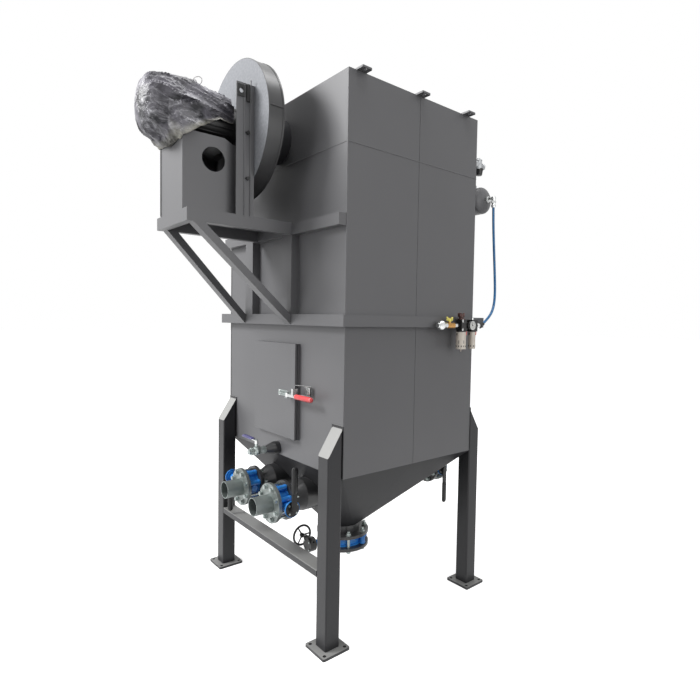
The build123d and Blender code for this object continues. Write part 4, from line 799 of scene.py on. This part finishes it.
# Plated fittings of the service unit: the quick coupler's knurled sleeve, hexagons on both sides
# of the shut-off valve, the hose's push-in collar and the small screws on the heads.
finish_nodes(plated, "air_coupler")
silver = bmesh.new()
for z in (air_z - 0.034, air_z + 0.018):
    round_bar(silver, (air_x + 0.0215, regulator_y - 0.012, z), (0, 0, 1), 0.017, 0.0038, sides=12)
round_bar(silver, (air_x, lubricator_y, air_z + 0.034), (0, 0, 1), 0.010, 0.0068, sides=12)
coupler_lip = [(0.0085, 0.0005), (0.0125, 0), (0.0148, 0.003), (0.0148, 0.010), (0.0178, 0.0125)]
knurls = [((0.0268, 0.0252)[k % 2], 0.0205 + 0.002 * k) for k in range(7)]
sleeve = [(0, 0.0115), (0.0175, 0.0115), (0.0262, 0.0195), *knurls, (0.0262, 0.036), (0.0165, 0.037),
          (0, 0.037)]
turned(silver, coupler_lip, (air_x, coupler_y, air_z), (0, 1, 0), 40)
turned(silver, sleeve, (air_x, coupler_y, air_z), (0, 1, 0), 40)
round_bar(silver, (air_x, 0.136, air_z), (0, 1, 0), 0.016, 0.0172, sides=6)
round_bar(silver, (air_x, 0.225, air_z), (0, 1, 0), 0.014, 0.0160, sides=6)
turned(silver, [(0, 0), (0.0118, 0), (0.0135, 0.002), (0.0135, 0.010), (0.0118, 0.012), (0.0135, 0.014),
                (0.0135, 0.021), (0.0105, 0.026), (0, 0.026)], (air_x, 0.430, air_z), (0, 1, 0), 28)
finished("air_fittings", silver, "housing", plated, 30)

# Bowls of the regulator and lubricator: milky moulded polycarbonate that looks like warm ivory,
# behind black guards with rows of slots, a sight slot and a red catch at the top.
bowl_top_z = air_z - 0.034
milky = mottled("milky moulded polycarbonate", 33.3, "#d9cfc2", "#f2eadd", Roughness=0.34, IOR=1.58)
finish_nodes(milky, "air_bowls")
slots, red_tabs = bmesh.new(), bmesh.new()
for y, radius, count in ((regulator_y, 0.029, 12), (lubricator_y, 0.021, 8)):
    for k, angle in enumerate(steps_round(count)):
        out = Vector((math.cos(angle), math.sin(angle), 0))
        on_bowl = Vector((air_x, y, bowl_top_z)) + out * (radius - 0.0022)
        round_bar(slots, on_bowl - Vector((0, 0, 0.090)), (0, 0, 1), 0.008, 0.0036, sides=10)
        if k % 2 and y == regulator_y:
            round_bar(slots, on_bowl - Vector((0, 0, 0.070)), (0, 0, 1), 0.018, 0.0030, sides=8)
    sight = (air_x - radius * 0.20, y - radius * 0.93, bowl_top_z - 0.023)
    catch = (air_x + radius * 0.68, y + radius * 0.70, bowl_top_z - 0.022)
    round_bar(slots, sight, (0, 0, 1), 0.014, 0.0040, sides=8)
    round_bar(red_tabs, catch, (0, 0, 1), 0.024, 0.0050, sides=12)
    turned(slots, [(0, 0), (radius - 0.002, 0), (radius + 0.0015, 0.002), (radius + 0.0015, 0.007),
                   (radius - 0.002, 0.009), (0, 0.009)], (air_x, y, bowl_top_z - 0.004), (0, 0, 1), 40)
finished("bowl_guard_slots", slots, "housing", black_plastic, 30)
finished("bowl_catches", red_tabs, "housing", red_dip, 30)

# Pressure knob: dark red moulded plastic, turned by hand, a broad base ring and a waisted head
# with five lobes. It is dull, with a grit of moulding marks.
knob_place = (air_x, regulator_y, air_z + 0.0338)
knob_red = mottled("dark red moulded plastic", 10, "#3a2320", "#5c3832", Roughness=0.4, IOR=1.46)
knob = bmesh.new()
turned(knob, [(0, 0), (0.0215, 0), (0.0232, 0.0015), (0.0232, 0.0045), (0.0215, 0.006), (0.0140, 0.0065),
              (0.0135, 0.013), (0.0186, 0.016), (0.0186, 0.034), (0.0160, 0.0365), (0, 0.0365)],
       knob_place, (0, 0, 1), 40)
for angle in steps_round(5, 0):
    lobe = (air_x + 0.0155 * math.cos(angle), regulator_y + 0.0155 * math.sin(angle), air_z + 0.050)
    turned(knob, [(0, 0), (0.0052, 0), (0.0066, 0.002), (0.0066, 0.020), (0.0045, 0.0235), (0, 0.0235)],
           lobe, (0, 0, 1), 16)
finished("pressure_knob", knob, "housing", knob_red, 40)

# Pressure dial: a white enamelled face in a plated case, with a ring of nine tick marks and one
# needle on a hub. The enamel is bright and smooth.
dial_centre = Vector((air_x + 0.020, 0.352, air_z + 0.001))
face_radius, ticks = 0.0235, 9
dial_white = mottled("white enamelled dial", 12.5, "#e6e6e2", "#f6f6f2", Roughness=0.35, IOR=1.5)
case, face, marks = bmesh.new(), bmesh.new(), bmesh.new()
turned(case, [(0, 0), (0.025, 0), (0.026, 0.002), (0.026, 0.016), (face_radius, 0.016),
              (face_radius, 0.013), (0, 0.013)], dial_centre, (1, 0, 0), 48)
turned(face, [(0, 0), (face_radius, 0), (face_radius, 0.0008), (0, 0.0008)],
       dial_centre + Vector((0.0131, 0, 0)), (1, 0, 0), 48)
for k in range(ticks):
    angle = math.radians(-45 + 270 * k / (ticks - 1))
    out = Vector((0, math.cos(angle), math.sin(angle)))
    round_bar(marks, dial_centre + Vector((0.0142, 0, 0)) + out * 0.0165, out, 0.005, 0.0007, sides=6)
round_bar(marks, dial_centre + Vector((0.0148, 0, 0)), (0, -0.5, 0.86), 0.015, 0.0009, sides=6)
round_bar(marks, dial_centre + Vector((0.0139, 0, 0)), (1, 0, 0), 0.002, 0.003, sides=16)
finished("dial_case", case, "housing", plated, 30)
finished("dial_face", face, "housing", dial_white, 30)
finished("dial_marks", marks, "housing", black_plastic, 30)

# Filter cartridges, seen through the open door: spun polyester folded into pleats between two
# plated end caps, hung under the tube sheet. The cloth is off-white and has no shine; its fibres
# are drawn as 2.5 mm specks.
pleat_outer, pleat_inner, pleats, cap_gap_z, pleat_height = 0.1590, 0.1563, 72, 1.902, 0.630
pleat_cloth = mottled("pleated spun polyester", 2.5, "#cfcdc4", "#e6e4dc", Roughness=0.9)
finish_nodes(zinc, "cartridges")
bm = bmesh.new()
for x in (-0.396, 0, 0.396):
    for y in (-0.219, 0.219):
        ring = bmesh.ops.create_circle(bm, segments=2 * pleats, radius=pleat_outer,
                                       matrix=Matrix.Translation((x, y, cap_gap_z)))["verts"]
        for v in ring[::2]:
            v.co.xy = Vector((x, y)) + (v.co.xy - Vector((x, y))) * (pleat_inner / pleat_outer)
        edges = list({e for v in ring for e in v.link_edges})
        grown = bmesh.ops.extrude_edge_only(bm, edges=edges)["geom"]
        bmesh.ops.translate(bm, verts=[g for g in grown if isinstance(g, bmesh.types.BMVert)],
                            vec=(0, 0, pleat_height))
finished("cartridge_pleats", bm, "housing", pleat_cloth)
